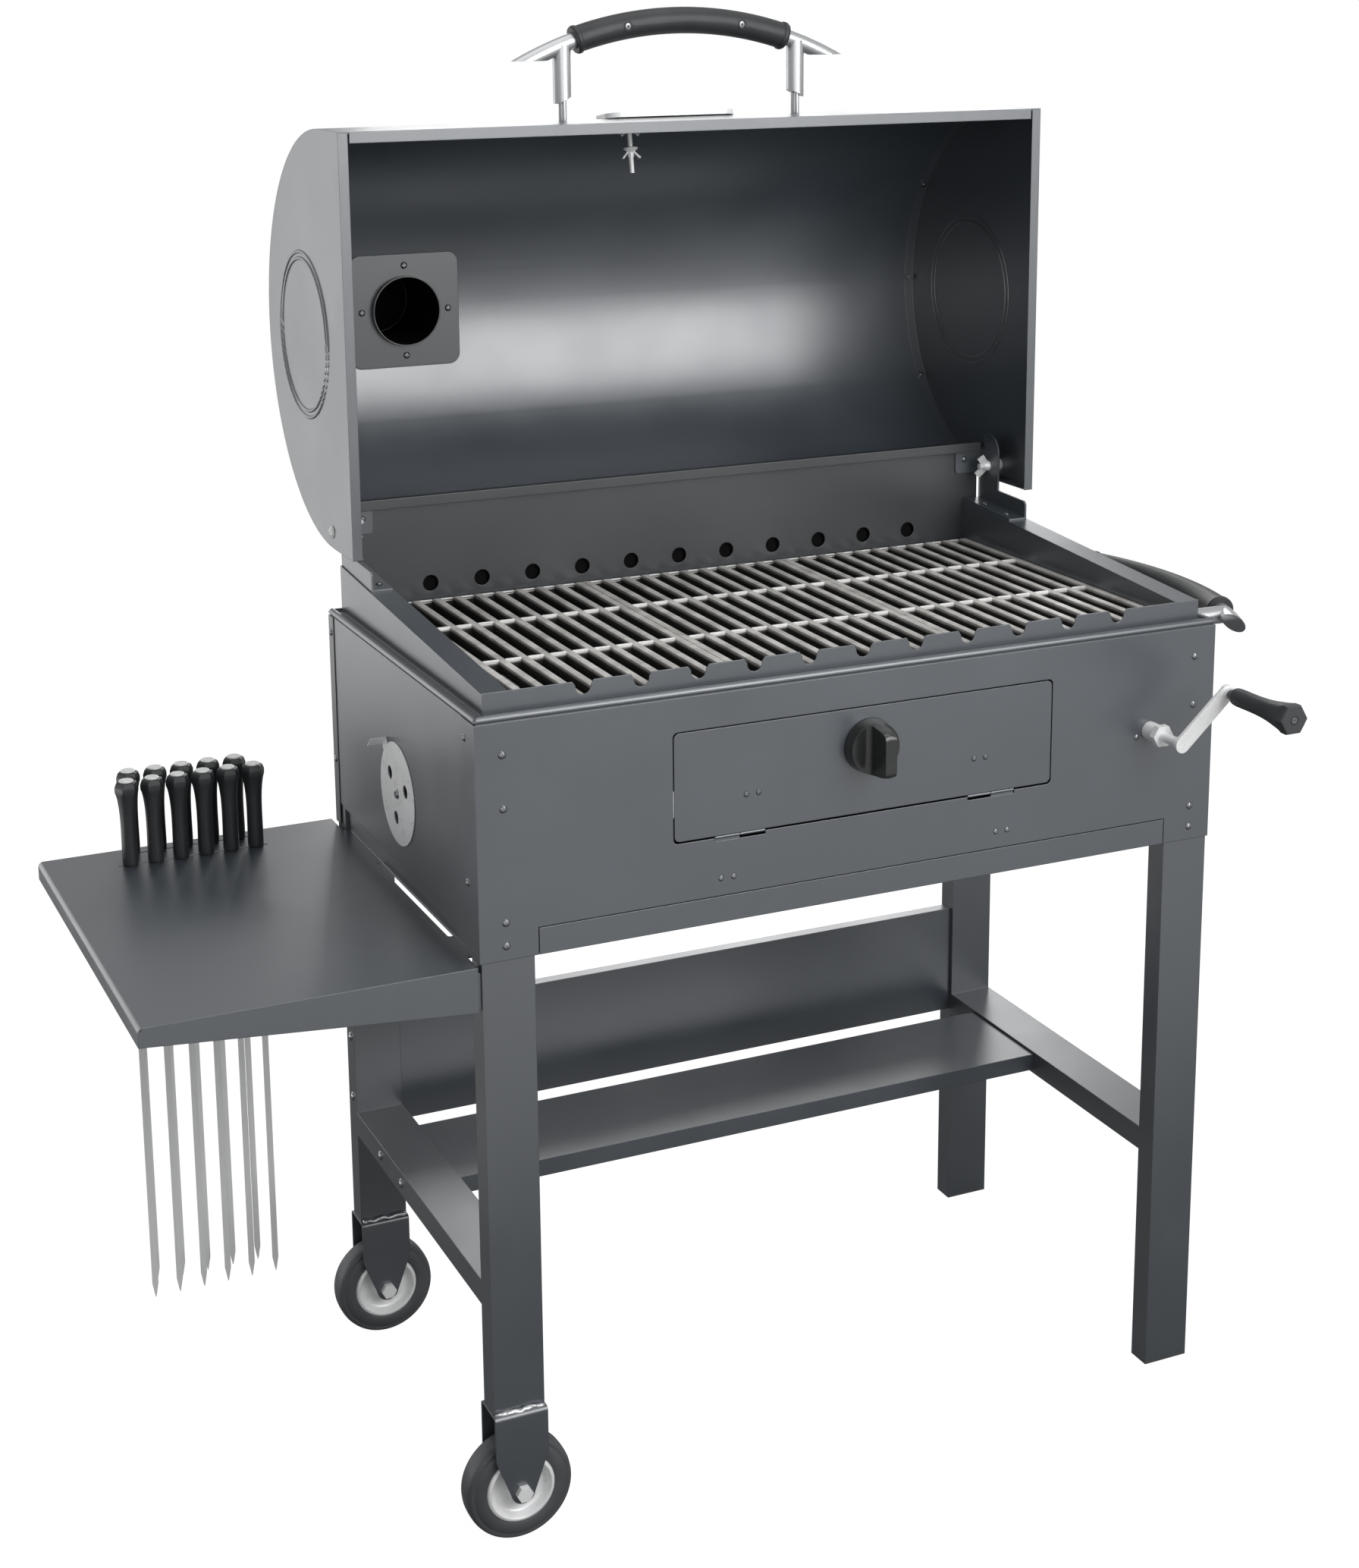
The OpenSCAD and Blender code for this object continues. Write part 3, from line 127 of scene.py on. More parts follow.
# roughness that wanders below and above the look's own value
def addRough(tree, shader, factor, look):
    below, above = look["roughSpread"]
    rough = rangeBetween(tree, factor, look["rough"] - below, look["rough"] + above)
    tree.links.new(rough, shader.inputs["Roughness"])


# bump on top of edges that catch the light as if slightly rounded
def addBump(tree, shader, height, look):
    bump = tree.nodes.new("ShaderNodeBump")
    bump.inputs["Strength"].default_value = look["bump"]
    bump.inputs["Distance"].default_value = look["bumpDepth"]
    tree.links.new(height, bump.inputs["Height"])
    soft = tree.nodes.new("ShaderNodeBevel")
    soft.samples = 4
    soft.inputs["Radius"].default_value = look["edge"]
    tree.links.new(soft.outputs["Normal"], bump.inputs["Normal"])
    tree.links.new(bump.outputs["Normal"], shader.inputs["Normal"])


# satin powder coat: fine orange peel, faint clouds in the tone, and softly caught edges
def powderCoat(name, look):
    finish, tree, shader = newFinish(name)
    where = objectSpace(tree)
    clouds = noiseNode(tree, where, look["cloudScale"], look["cloudDetail"])
    grain = noiseNode(tree, where, look["grainScale"], look["grainDetail"], look["grainRough"])
    mix = tree.nodes.new("ShaderNodeMath")
    mix.operation = "MULTIPLY_ADD"
    mix.inputs[1].default_value = look["grainShare"]
    tree.links.new(grain, mix.inputs[0])
    tree.links.new(clouds, mix.inputs[2])
    dark, light = (shade(look["colour"], 1 + side * look["vary"]) for side in (-1, 1))
    tone = rampBetween(tree, mix.outputs[0], dark, light, *look["toneSpan"])
    tree.links.new(tone, shader.inputs["Base Color"])
    addRough(tree, shader, clouds, look)
    shader.inputs["Metallic"].default_value = look["metal"]
    shader.inputs["Specular IOR Level"].default_value = look["specular"]
    shader.inputs["IOR"].default_value = look["ior"]
    addBump(tree, shader, grain, look)
    return finish


# plated or drawn metal with streaks along one axis
def brightMetal(name, look):
    finish, tree, shader = newFinish(name)
    where = objectSpace(tree, look["streak"])
    streaks = noiseNode(tree, where, look["scale"], look["detail"], look["streakRough"])
    tone = rampBetween(tree, streaks, shade(look["colour"], 1 - look["vary"]), look["colour"])
    tree.links.new(tone, shader.inputs["Base Color"])
    addRough(tree, shader, streaks, look)
    shader.inputs["Metallic"].default_value = look["metal"]
    addBump(tree, shader, streaks, look)
    return finish


# moulded plastic or rubber with a leathery grain
def mouldedPlastic(name, look):
    finish, tree, shader = newFinish(name)
    where = objectSpace(tree)
    grain = noiseNode(tree, where, look["grainScale"], look["grainDetail"], look["grainRough"])
    clouds = noiseNode(tree, where, look["cloudScale"], look["cloudDetail"])
    dark, light = (shade(look["colour"], 1 + side * look["vary"]) for side in (-1, 1))
    tree.links.new(rampBetween(tree, clouds, dark, light), shader.inputs["Base Color"])
    addRough(tree, shader, grain, look)
    shader.inputs["Specular IOR Level"].default_value = look["specular"]
    addBump(tree, shader, grain, look)
    return finish


# cast iron that has taken some heat: soft clouds and pits, with painted shade darkening the flanks
# of the bars below their tops
def castIron(name, look):
    finish, tree, shader = newFinish(name)
    where = objectSpace(tree)
    clouds = noiseNode(tree, where, look["cloudScale"], look["cloudDetail"], look["cloudRough"])
    pits = noiseNode(tree, where, look["pitScale"], look["pitDetail"], look["pitRough"])
    tone = rampBetween(tree, clouds, look["dark"], look["light"], *look["toneSpan"])
    # painted shade: below the bar tops the colour falls to the flank gain, so the sides of the bars
    # look shaded
    split = tree.nodes.new("ShaderNodeSeparateXYZ")
    tree.links.new(where, split.inputs["Vector"])
    paintedFlankShade = rangeBetween(tree, split.outputs["Z"], look["flank"], 1, look["top"] - look["shadeBelow"],
                        look["top"] - look["fullToneAbove"])
    shaded = tree.nodes.new("ShaderNodeVectorMath")
    shaded.operation = "SCALE"
    tree.links.new(tone, shaded.inputs[0])
    tree.links.new(paintedFlankShade, shaded.inputs["Scale"])
    tree.links.new(shaded.outputs["Vector"], shader.inputs["Base Color"])
    addRough(tree, shader, pits, look)
    shader.inputs["Metallic"].default_value = look["metal"]
    addBump(tree, shader, pits, look)
    return finish


coatLook = {"colour": (0.042, 0.053, 0.066), "vary": 0.06, "toneSpan": (0.4, 1.0), "rough": 0.34,
            "roughSpread": (0.03, 0.04), "specular": 1.0, "ior": 1.8, "metal": 0.15,
            "cloudScale": 7, "cloudDetail": 4, "grainScale": 700, "grainDetail": 3,
            "grainRough": 0.6, "grainShare": 0.5, "bump": 0.10, "bumpDepth": 0.0006,
            "edge": 0.0012}
paleLook = dict(coatLook, colour=(0.050, 0.060, 0.072))
# painted shade: a darker copy of the coat for the rear wall, the rear panel and the chimney pipe,
# which lie in shade
innerShadeLook = dict(coatLook, colour=(0.024, 0.028, 0.033), ior=1.6)
trayLook = dict(coatLook, colour=(0.018, 0.019, 0.020), rough=0.5, ior=1.4, metal=0.0)
# near-black finish for the soot in the chimney and for the painted shade behind the back wall's
# holes
sootAndShadeLook = dict(coatLook, colour=(0.004, 0.004, 0.004), rough=0.8, specular=0.1, ior=1.4,
                metal=0.0)
# the flank gain and the heights under the top set the painted shade on the grate bar sides
ironLook = {"dark": (0.50, 0.485, 0.455), "light": (0.80, 0.785, 0.75), "toneSpan": (0.36, 0.62),
            "rough": 0.34, "roughSpread": (0, 0.21), "metal": 0.15, "cloudScale": 28,
            "cloudDetail": 5, "cloudRough": 0.6, "pitScale": 420, "pitDetail": 4,
            "pitRough": 0.7, "flank": 0.05, "top": grateTop, "shadeBelow": 0.0048,
            "fullToneAbove": 0.0012, "bump": 0.35, "bumpDepth": 0.0008, "edge": 0.0012}
zincLook = {"colour": (0.94, 0.945, 0.95), "vary": 0.03, "rough": 0.3,
            "roughSpread": (0.06, 0.08), "metal": 0.1, "scale": 60, "detail": 4,
            "streakRough": 0.65, "streak": (1, 1, 1), "bump": 0.01, "bumpDepth": 0.0002,
            "edge": 0.0006}
ribLook = dict(zincLook, colour=(0.93, 0.93, 0.925), rough=0.35)
screwLook = dict(zincLook, colour=(0.26, 0.27, 0.28), vary=0.2, rough=0.24, metal=0.95, scale=300)
satinLook = dict(zincLook, colour=(0.52, 0.53, 0.54), vary=0.08, rough=0.34, metal=0.85,
                 scale=160, streak=(6, 6, 0.6))
steelLook = dict(zincLook, colour=(0.96, 0.965, 0.97), metal=0.0, bump=0.003,
                 streak=(4, 4, 0.15))
blackLook = {"colour": (0.024, 0.026, 0.028), "vary": 0.15, "rough": 0.42,
             "roughSpread": (0.05, 0.08), "specular": 0.45, "cloudScale": 20, "cloudDetail": 2,
             "grainScale": 520, "grainDetail": 3, "grainRough": 0.6, "bump": 0.25,
             "bumpDepth": 0.0004, "edge": 0.0008}
knobLook = dict(blackLook, colour=(0.020, 0.022, 0.021), rough=0.2, specular=0.7, bump=0.06)
gripLook = dict(blackLook, colour=(0.050, 0.054, 0.056), rough=0.5, specular=0.35)
tyreLook = dict(blackLook, colour=(0.082, 0.086, 0.092), rough=0.5, specular=0.4, grainScale=300)

coat = powderCoat("satinPowderCoat", coatLook)
paleCoat = powderCoat("satinPowderCoatPale", paleLook)
innerShadeCoat = powderCoat("satinPowderCoatShadedInside", innerShadeLook)
trayCoat = powderCoat("blackTrayCoat", trayLook)
sootAndShadeCoat = powderCoat("sootAndPaintedShadeInside", sootAndShadeLook)
iron = castIron("castGrateIron", ironLook)
zinc = brightMetal("zincPlate", zincLook)
ribMetal = brightMetal("cleanGrateRibs", ribLook)
screwSteel = brightMetal("screwSteel", screwLook)
satin = brightMetal("satinHandleMetal", satinLook)
bladeSteel = brightMetal("drawnBladeSteel", steelLook)
blackPlastic = mouldedPlastic("blackMouldedPlastic", blackLook)
knobPlastic = mouldedPlastic("glossyKnobPlastic", knobLook)
gripPlastic = mouldedPlastic("greyGripPlastic", gripLook)
tyreRubber = mouldedPlastic("greyBlackRubber", tyreLook)
print("finishes made")


# modelling helpers

nearBy = 0.0001        # a point this close to a level counts as on it


def clearSelection():
    active = bpy.context.view_layer.objects.active
    if active and active.mode != "OBJECT":
        bpy.ops.object.mode_set(mode="OBJECT")
    bpy.ops.object.select_all(action="DESELECT")


def makeActive(piece):
    clearSelection()
    piece.select_set(True)
    bpy.context.view_layer.objects.active = piece


def bakePlace():
    bpy.ops.object.transform_apply(location=True, rotation=True, scale=True)


# last step of every piece: its place goes into its mesh, and it joins the body of its node
def settle(piece, name, finish, node, angle=32):
    makeActive(piece)
    bakePlace()
    bpy.ops.object.shade_smooth_by_angle(angle=math.radians(angle))
    piece.name = name
    piece.data.materials.clear()
    piece.data.materials.append(finish)
    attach(piece, frame["nodes"][node]["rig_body"])
    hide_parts(node)
    clearSelection()


def copyOf(piece, name):
    twin = bpy.data.objects.new(name, piece.data.copy())
    bpy.context.scene.collection.objects.link(twin)
    return twin


def drop(piece):
    bpy.data.objects.remove(piece)


# turns a piece from upright to the given direction and moves its origin to the place
def stand(piece, place, direction=(0, 0, 1)):
    piece.rotation_mode = "QUATERNION"
    piece.rotation_quaternion = Vector(direction).to_track_quat("Z", "Y")
    piece.location = place
    return piece


def nodeBox(node):
    low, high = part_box(node)
    return Vector(low), Vector(high)


def block(place, size):
    clearSelection()
    bpy.ops.mesh.primitive_cube_add(size=1, location=place, scale=size)
    bakePlace()
    return bpy.context.object


def selectVerts(piece, test):
    bpy.ops.object.mode_set(mode="OBJECT")
    for part in (piece.data.polygons, piece.data.edges):
        for item in part:
            item.select = False
    for vert in piece.data.vertices:
        vert.select = test(vert.co)
    bpy.ops.object.mode_set(mode="EDIT")
    bpy.ops.mesh.select_mode(type="VERT")


# bevels every edge of the piece and leaves it in edit mode
def easeAll(width, segments=1):
    bpy.ops.object.mode_set(mode="EDIT")
    bpy.ops.mesh.select_all(action="SELECT")
    bpy.ops.mesh.bevel(offset=width, segments=segments, affect="EDGES")


def roundOff(piece, levels=2):
    smooth = piece.modifiers.new("roundOff", "SUBSURF")
    smooth.levels = smooth.render_levels = levels
    bpy.ops.object.modifier_apply(modifier=smooth.name)


# profile of (radius, height) pairs turned about the upright axis
def lathe(profile, steps, weld=0.000002):
    clearSelection()
    bpy.ops.mesh.primitive_plane_add(size=0.002)        # merged into one point below
    piece = bpy.context.object
    bpy.ops.object.mode_set(mode="EDIT")
    bpy.ops.mesh.select_mode(type="VERT")
    bpy.ops.mesh.select_all(action="SELECT")
    bpy.ops.mesh.merge(type="CENTER")
    bpy.ops.transform.translate(value=(profile[0][0], 0, profile[0][1]))
    for here, there in zip(profile, profile[1:]):
        bpy.ops.mesh.extrude_region_move(
            TRANSFORM_OT_translate={"value": (there[0] - here[0], 0, there[1] - here[1])})
    bpy.ops.mesh.select_all(action="SELECT")
    bpy.ops.mesh.spin(steps=steps, angle=math.tau, center=(0, 0, 0), axis=(0, 0, 1))
    bpy.ops.mesh.select_all(action="SELECT")
    bpy.ops.mesh.remove_doubles(threshold=weld)
    bpy.ops.mesh.normals_make_consistent(inside=False)
    bpy.ops.object.mode_set(mode="OBJECT")
    return piece


# the grips start with twelve sides; pulling in every second corner makes a hexagon
hexagon = {"sides": 12, "repeat": 60, "flat": 30, "within": 2}


def onFlat(co):
    turned = math.degrees(math.atan2(co.y, co.x)) % hexagon["repeat"]
    return abs(turned - hexagon["flat"]) < hexagon["within"]


# grip built up ring by ring: each ring is (height, radius, how far it has turned into a hexagon)
def flaredGrip(rings, crispFrom, crease):
    clearSelection()
    bpy.ops.mesh.primitive_circle_add(vertices=hexagon["sides"], radius=rings[0][1],
                                      fill_type="NGON")
    piece = bpy.context.object
    bpy.ops.object.mode_set(mode="EDIT")
    bpy.ops.mesh.select_mode(type="FACE")
    bpy.ops.mesh.select_all(action="SELECT")
    bpy.ops.transform.translate(value=(0, 0, rings[0][0]))
    for here, there in zip(rings, rings[1:]):
        bpy.ops.mesh.extrude_region_move(
            TRANSFORM_OT_translate={"value": (0, 0, there[0] - here[0])})
        grow = there[1] / here[1]
        bpy.ops.transform.resize(value=(grow, grow, 1), center_override=(0, 0, there[0]))
    for height, radius, hexShare in rings:
        if hexShare:
            shrink = 1 - hexShare * (1 - math.cos(math.radians(hexagon["flat"])))
            selectVerts(piece, lambda co: abs(co.z - height) < nearBy and onFlat(co))
            bpy.ops.transform.resize(value=(shrink, shrink, 1), center_override=(0, 0, height))
    selectVerts(piece, lambda co: co.z > crispFrom - nearBy)
    bpy.ops.mesh.select_mode(type="EDGE")
    bpy.ops.transform.edge_crease(value=crease)
    bpy.ops.mesh.select_all(action="SELECT")
    bpy.ops.mesh.normals_make_consistent(inside=False)
    bpy.ops.object.mode_set(mode="OBJECT")
    roundOff(piece)
    return piece


# copies of the CAD nodes: triangles joined up, curves shaded smooth, and long edges of some eased
dressing = {"weld": 0.00001, "flatAngle": 0.4, "sharpAngle": 50, "longEdge": 0.02,
            "segments": 2, "profile": 0.6,
            "eased": {"grate_left": 0.0016, "grate_middle": 0.0016, "grate_right": 0.0016,
                      "crank_arm": 0.0008},
            "finishOfSlot": {"coat": coat, "pale_coat": paleCoat, "cast_iron": iron,
                             "zinc": zinc, "satin_alloy": satin, "bright_steel": bladeSteel,
                             "black_grip": blackPlastic, "tyre": tyreRubber},
            "finishOfNode": {"body_screws": screwSteel, "lid_fasteners": screwSteel,
                             # the rear wall, rear panel and chimney pipe take the coat with painted
                             # shade
                             "coal_tray": trayCoat, "rear_wall": innerShadeCoat,
                             "rear_panel": innerShadeCoat, "chimney_pipe": innerShadeCoat,
                             "crank_grip": gripPlastic, "door_knob": knobPlastic,
                             "foot_plugs": tyreRubber}}
skewerCount = 11
skewers = ["skewer_" + str(i + 1) for i in range(skewerCount)]
modelledBelow = skewers + ["front_tyre", "rear_tyre", "front_wheel_rim", "rear_wheel_rim",
                           "door_knob", "crank_grip"]


def easeLongEdges(piece, width):
    bpy.ops.mesh.select_all(action="DESELECT")
    bpy.ops.mesh.select_mode(type="EDGE")
    bpy.ops.mesh.edges_select_sharp(sharpness=math.radians(dressing["sharpAngle"]))
    bpy.ops.object.mode_set(mode="OBJECT")
    for edge in piece.data.edges:
        start, end = (piece.data.vertices[i].co for i in edge.vertices)
        edge.select = edge.select and (start - end).length > dressing["longEdge"]
    bpy.ops.object.mode_set(mode="EDIT")
    bpy.ops.mesh.bevel(offset=width, segments=dressing["segments"], profile=dressing["profile"],
                       affect="EDGES", clamp_overlap=True)


def dressNode(node, finish):
    piece = copyOf(frame["nodes"][node], "dressed_" + node)
    makeActive(piece)
    bpy.ops.mesh.customdata_custom_splitnormals_clear()
    bpy.ops.object.mode_set(mode="EDIT")
    bpy.ops.mesh.select_mode(type="VERT")
    bpy.ops.mesh.select_all(action="SELECT")
    bpy.ops.mesh.remove_doubles(threshold=dressing["weld"])
    bpy.ops.mesh.dissolve_limited(angle_limit=math.radians(dressing["flatAngle"]))
    if node in dressing["eased"]:
        easeLongEdges(piece, dressing["eased"][node])
    bpy.ops.object.mode_set(mode="OBJECT")
    settle(piece, "dressed_" + node, finish, node)


for name, solid in frame["nodes"].items():
    finish = dressing["finishOfNode"].get(name, dressing["finishOfSlot"][slotOf[name]])
    solid.data.materials.clear()
    solid.data.materials.append(finish)
    if name not in modelledBelow:
        dressNode(name, finish)
print("nodes dressed")


# skewers: flared plastic handle, zinc cap and a flat blade that ends in a point
skewerSize = {"rings": [(0.0, 0.0088, 0), (0.0016, 0.0101, 0), (0.018, 0.0100, 0.1),
                        (0.045, 0.0096, 0.15), (0.066, 0.0102, 0.4), (0.080, 0.0120, 0.8),
                        (0.0915, 0.0143, 1), (0.0975, 0.0143, 1), (0.1030, 0.0122, 1),
                        (0.1040, 0.0108, 1)],
              "crispFrom": 0.0905, "crease": 0.55, "handle": 0.1058,
              "cap": [(0.0, 0.1032), (0.0084, 0.1032), (0.0084, 0.1050), (0.0078, 0.1057),
                      (0.0016, 0.1058), (0.0, 0.1058)],
              "capSteps": 32, "blade": (0.0074, 0.0020), "hiddenBlade": 0.03,
              "bladeEase": 0.0003, "point": 0.018, "tip": (0.12, 0.5)}

handleShape = flaredGrip(skewerSize["rings"], skewerSize["crispFrom"], skewerSize["crease"])
capShape = lathe(skewerSize["cap"], skewerSize["capSteps"])

for i, node in enumerate(skewers):
    number = str(i + 1)
    low, high = nodeBox(node)
    foot = Vector(((low.x + high.x) / 2, (low.y + high.y) / 2, high.z - skewerSize["handle"]))
    settle(stand(copyOf(handleShape, "handle"), foot), "skewerHandle_" + number, blackPlastic,
           node, angle=40)
    settle(stand(copyOf(capShape, "cap"), foot), "skewerCap_" + number, zinc, node)
    bladeTop = foot.z + skewerSize["hiddenBlade"]
    blade = block((foot.x, foot.y, (low.z + bladeTop) / 2),
                  (*skewerSize["blade"], bladeTop - low.z))
    bpy.ops.object.mode_set(mode="EDIT")
    bpy.ops.mesh.select_all(action="SELECT")
    bpy.ops.mesh.bisect(plane_co=(foot.x, foot.y, low.z + skewerSize["point"]),
                        plane_no=(0, 0, 1))
    selectVerts(blade, lambda co: co.z < low.z + nearBy)
    bpy.ops.transform.resize(value=(*skewerSize["tip"], 1),
                             center_override=(foot.x, foot.y, low.z))
    easeAll(skewerSize["bladeEase"])
    bpy.ops.object.mode_set(mode="OBJECT")
    settle(blade, "skewerBlade_" + number, bladeSteel, node)
drop(handleShape)
drop(capShape)
print("skewers made")


# wheels: rubber tread with a stepped edge, and a pressed disc with its nut and bolt head
wheelSize = {"tread": [(0.0475, -0.0080), (0.0405, -0.0085), (0.0405, -0.0150),
                       (0.0422, -0.0160), (0.0530, -0.0160), (0.0541, -0.0147),
                       (0.0556, -0.0145), (0.0572, -0.0148), (0.0596, -0.0140),
                       (0.0613, -0.0118), (0.0622, -0.0080), (0.0625, -0.0030)],
             "treadSteps": 72,
             "disc": [(0.0062, -0.0180), (0.0120, -0.0180), (0.0130, -0.0170),
                      (0.0130, -0.0090), (0.0150, -0.0074), (0.0290, -0.0070),
                      (0.0322, -0.0095), (0.0340, -0.0150), (0.0362, -0.0172),
                      (0.0386, -0.0168), (0.0402, -0.0150), (0.0403, -0.0084),
                      (0.0470, -0.0079)],
             "discSteps": 60}


# ring whose far side mirrors its near side
def wheelRing(half, steps, hub):
    whole = half + [(radius, -height) for radius, height in reversed(half)]
    return stand(lathe(whole + whole[:1], steps), hub, (0, -1, 0))


for side in ("front", "rear"):
    low, high = nodeBox(side + "_tyre")
    hub = (low + high) / 2
    settle(wheelRing(wheelSize["tread"], wheelSize["treadSteps"], hub), side + "TyreTread",
           tyreRubber, side + "_tyre", angle=50)
    settle(wheelRing(wheelSize["disc"], wheelSize["discSteps"], hub), side + "WheelDisc",
           zinc, side + "_wheel_rim", angle=50)
print("wheels made")


# door knob: tapered cap scooped out on both sides, which leaves a bar across the middle
knobSize = {"profile": [(0.0, 0.0), (0.0300, 0.0), (0.0312, 0.0014), (0.0312, 0.0040),
                        (0.0296, 0.0170), (0.0268, 0.0400), (0.0256, 0.0455),
                        (0.0238, 0.0484), (0.0212, 0.0498), (0.0180, 0.0502), (0.0, 0.0502)],
            "steps": 72, "bar": 0.0070, "floor": 0.0155, "scoop": (0.06, 0.09, 0.06),
            "corner": 0.001, "fillet": 0.0070, "filletSteps": 6}
low, high = nodeBox("door_knob")
knobPlace = Vector(((low.x + high.x) / 2, high.y, (low.z + high.z) / 2))
knob = lathe(knobSize["profile"], knobSize["steps"])
wide, _, deep = knobSize["scoop"]
for side in (-1, 1):
    scoop = block((side * (knobSize["bar"] + wide / 2), 0, knobSize["floor"] + deep / 2),
                  knobSize["scoop"])
    selectVerts(scoop, lambda co: abs(co.x) < knobSize["bar"] + knobSize["corner"]
                and co.z < knobSize["floor"] + knobSize["corner"])
    bpy.ops.mesh.bevel(offset=knobSize["fillet"], segments=knobSize["filletSteps"],
                       affect="EDGES")
    bpy.ops.object.mode_set(mode="OBJECT")
    makeActive(knob)
    cut = knob.modifiers.new("scoopOut", "BOOLEAN")
    cut.operation, cut.solver, cut.object = "DIFFERENCE", "EXACT", scoop
    bpy.ops.object.modifier_apply(modifier=cut.name)
    drop(scoop)
settle(stand(knob, knobPlace, (0, -1, 0)), "doorKnobScooped", knobPlastic, "door_knob",
       angle=30)
print("knob made")


# crank grip: slim neck, then a swelling that flares into a hexagon
gripSize = {"rings": [(0.0, 0.0052, 0), (0.002, 0.0062, 0), (0.006, 0.0068, 0),
                      (0.010, 0.0100, 0), (0.014, 0.0116, 0.1), (0.040, 0.0112, 0.25),
                      (0.062, 0.0118, 0.45), (0.080, 0.0140, 0.75), (0.096, 0.0176, 1),
                      (0.105, 0.0189, 1), (0.1145, 0.0190, 1), (0.1170, 0.0178, 1)],
            "crispFrom": 0.104, "crease": 0.75}
low, high = nodeBox("crank_grip")
gripFoot = Vector(((low.x + high.x) / 2, high.y, (low.z + high.z) / 2))
gripEnd = gripFoot - Vector((0, gripSize["rings"][-1][0], 0))
grip = flaredGrip(gripSize["rings"], gripSize["crispFrom"], gripSize["crease"])
settle(stand(grip, gripFoot, (0, -1, 0)), "crankGripFlared", gripPlastic, "crank_grip",
       angle=40)
print("crank grip made")


# screws sunk into plastic, each in a raised ring
screwSize = {"rim": [(0.0052, -0.0010), (0.0060, -0.0004), (0.0058, 0.0003),
                     (0.0050, 0.0004), (0.0045, -0.0006), (0.0052, -0.0010)],
             "head": [(0.0, -0.0014), (0.0042, -0.0014), (0.0042, -0.0004), (0.0030, 0.0),
                      (0.0016, 0.0001), (0.0012, -0.0006), (0.0, -0.0006)],
             "steps": 24}


def sinkScrew(node, name, number, spot, face):
    settle(stand(lathe(screwSize["rim"], screwSize["steps"]), spot, face),
           name + "ScrewRim" + number, blackPlastic, node, angle=50)
    settle(stand(lathe(screwSize["head"], screwSize["steps"]), spot, face),
           name + "Screw" + number, screwSteel, node, angle=40)


# handle sleeves: rolled ends, and two screws in the lid sleeve's front and the side one's underside
sleeveSize = {"arc": 0.466, "radius": 0.016, "endAngle": 17.2, "screwAngle": 9.4,
              "collar": [(0.0150, -0.0030), (0.0166, -0.0030), (0.0174, -0.0016),
                         (0.0174, 0.0016), (0.0168, 0.0028), (0.0158, 0.0034),
                         (0.0150, 0.0034), (0.0150, -0.0030)],
              "collarSteps": 40}


def trimSleeve(node, name, alongHandle, outOfFace, awayFromBody):
    low, high = nodeBox(node)
    middle = (low + high) / 2
    across, away, face = Vector(alongHandle), Vector(awayFromBody), Vector(outOfFace)
    hub = Vector(tuple(top if axis else part for axis, part, top in zip(away, middle, high)))
    hub -= away * (sleeveSize["radius"] + sleeveSize["arc"])
    for side in (-1, 1):
        number = str(side + 2)
        turned = math.radians(side * sleeveSize["endAngle"])
        spot = hub + (across * math.sin(turned) + away * math.cos(turned)) * sleeveSize["arc"]
        tangent = (across * math.cos(turned) - away * math.sin(turned)) * side
        collar = lathe(sleeveSize["collar"], sleeveSize["collarSteps"])
        settle(stand(collar, spot, tangent), name + "Collar" + number, blackPlastic, node,
               angle=50)
        turned = math.radians(side * sleeveSize["screwAngle"])
        spot = hub + (across * math.sin(turned) + away * math.cos(turned)) * sleeveSize["arc"]
        sinkScrew(node, name, number, spot + face * sleeveSize["radius"], face)


trimSleeve("lid_handle_grip", "lidSleeve", (1, 0, 0), (0, -1, 0), (0, 0, 1))
trimSleeve("side_handle_grip", "sideSleeve", (0, 1, 0), (0, 0, -1), (1, 0, 0))
sinkScrew("crank_grip", "grip", "", gripEnd, (0, -1, 0))
print("sleeves and grip trimmed")


# lumpy weld beads where the legs stand on the wheel forks
beadSize = {"size": (0.058, 0.0062, 0.0060), "inset": 0.0052, "fork": 0.046, "above": 0.0004,
            "cuts": 13, "longEdge": 0.01, "lumps": 0.0026, "evenness": 0.6, "firstSeed": 3}
low, high = nodeBox("caster_forks")
beadRows = (low.y + beadSize["inset"], low.y + beadSize["fork"] - beadSize["inset"],
            high.y - beadSize["fork"] + beadSize["inset"], high.y - beadSize["inset"])
for i, y in enumerate(beadRows):
    bead = block(((low.x + high.x) / 2, y, high.z + beadSize["above"]), beadSize["size"])
    bpy.ops.object.mode_set(mode="EDIT")
    bpy.ops.mesh.select_mode(type="EDGE")
    bpy.ops.mesh.select_all(action="DESELECT")
    bpy.ops.object.mode_set(mode="OBJECT")
    for edge in bead.data.edges:
        start, end = (bead.data.vertices[v].co for v in edge.vertices)
        edge.select = abs(start.x - end.x) > beadSize["longEdge"]
    bpy.ops.object.mode_set(mode="EDIT")
    bpy.ops.mesh.subdivide(number_cuts=beadSize["cuts"])
    bpy.ops.mesh.select_all(action="SELECT")
    bpy.ops.transform.vertex_random(offset=beadSize["lumps"], uniform=beadSize["evenness"],
                                    seed=beadSize["firstSeed"] + i)
    bpy.ops.object.mode_set(mode="OBJECT")
    roundOff(bead)
    settle(bead, "weldBead_" + str(i + 1), satin, "caster_forks", angle=60)
print("beads laid")


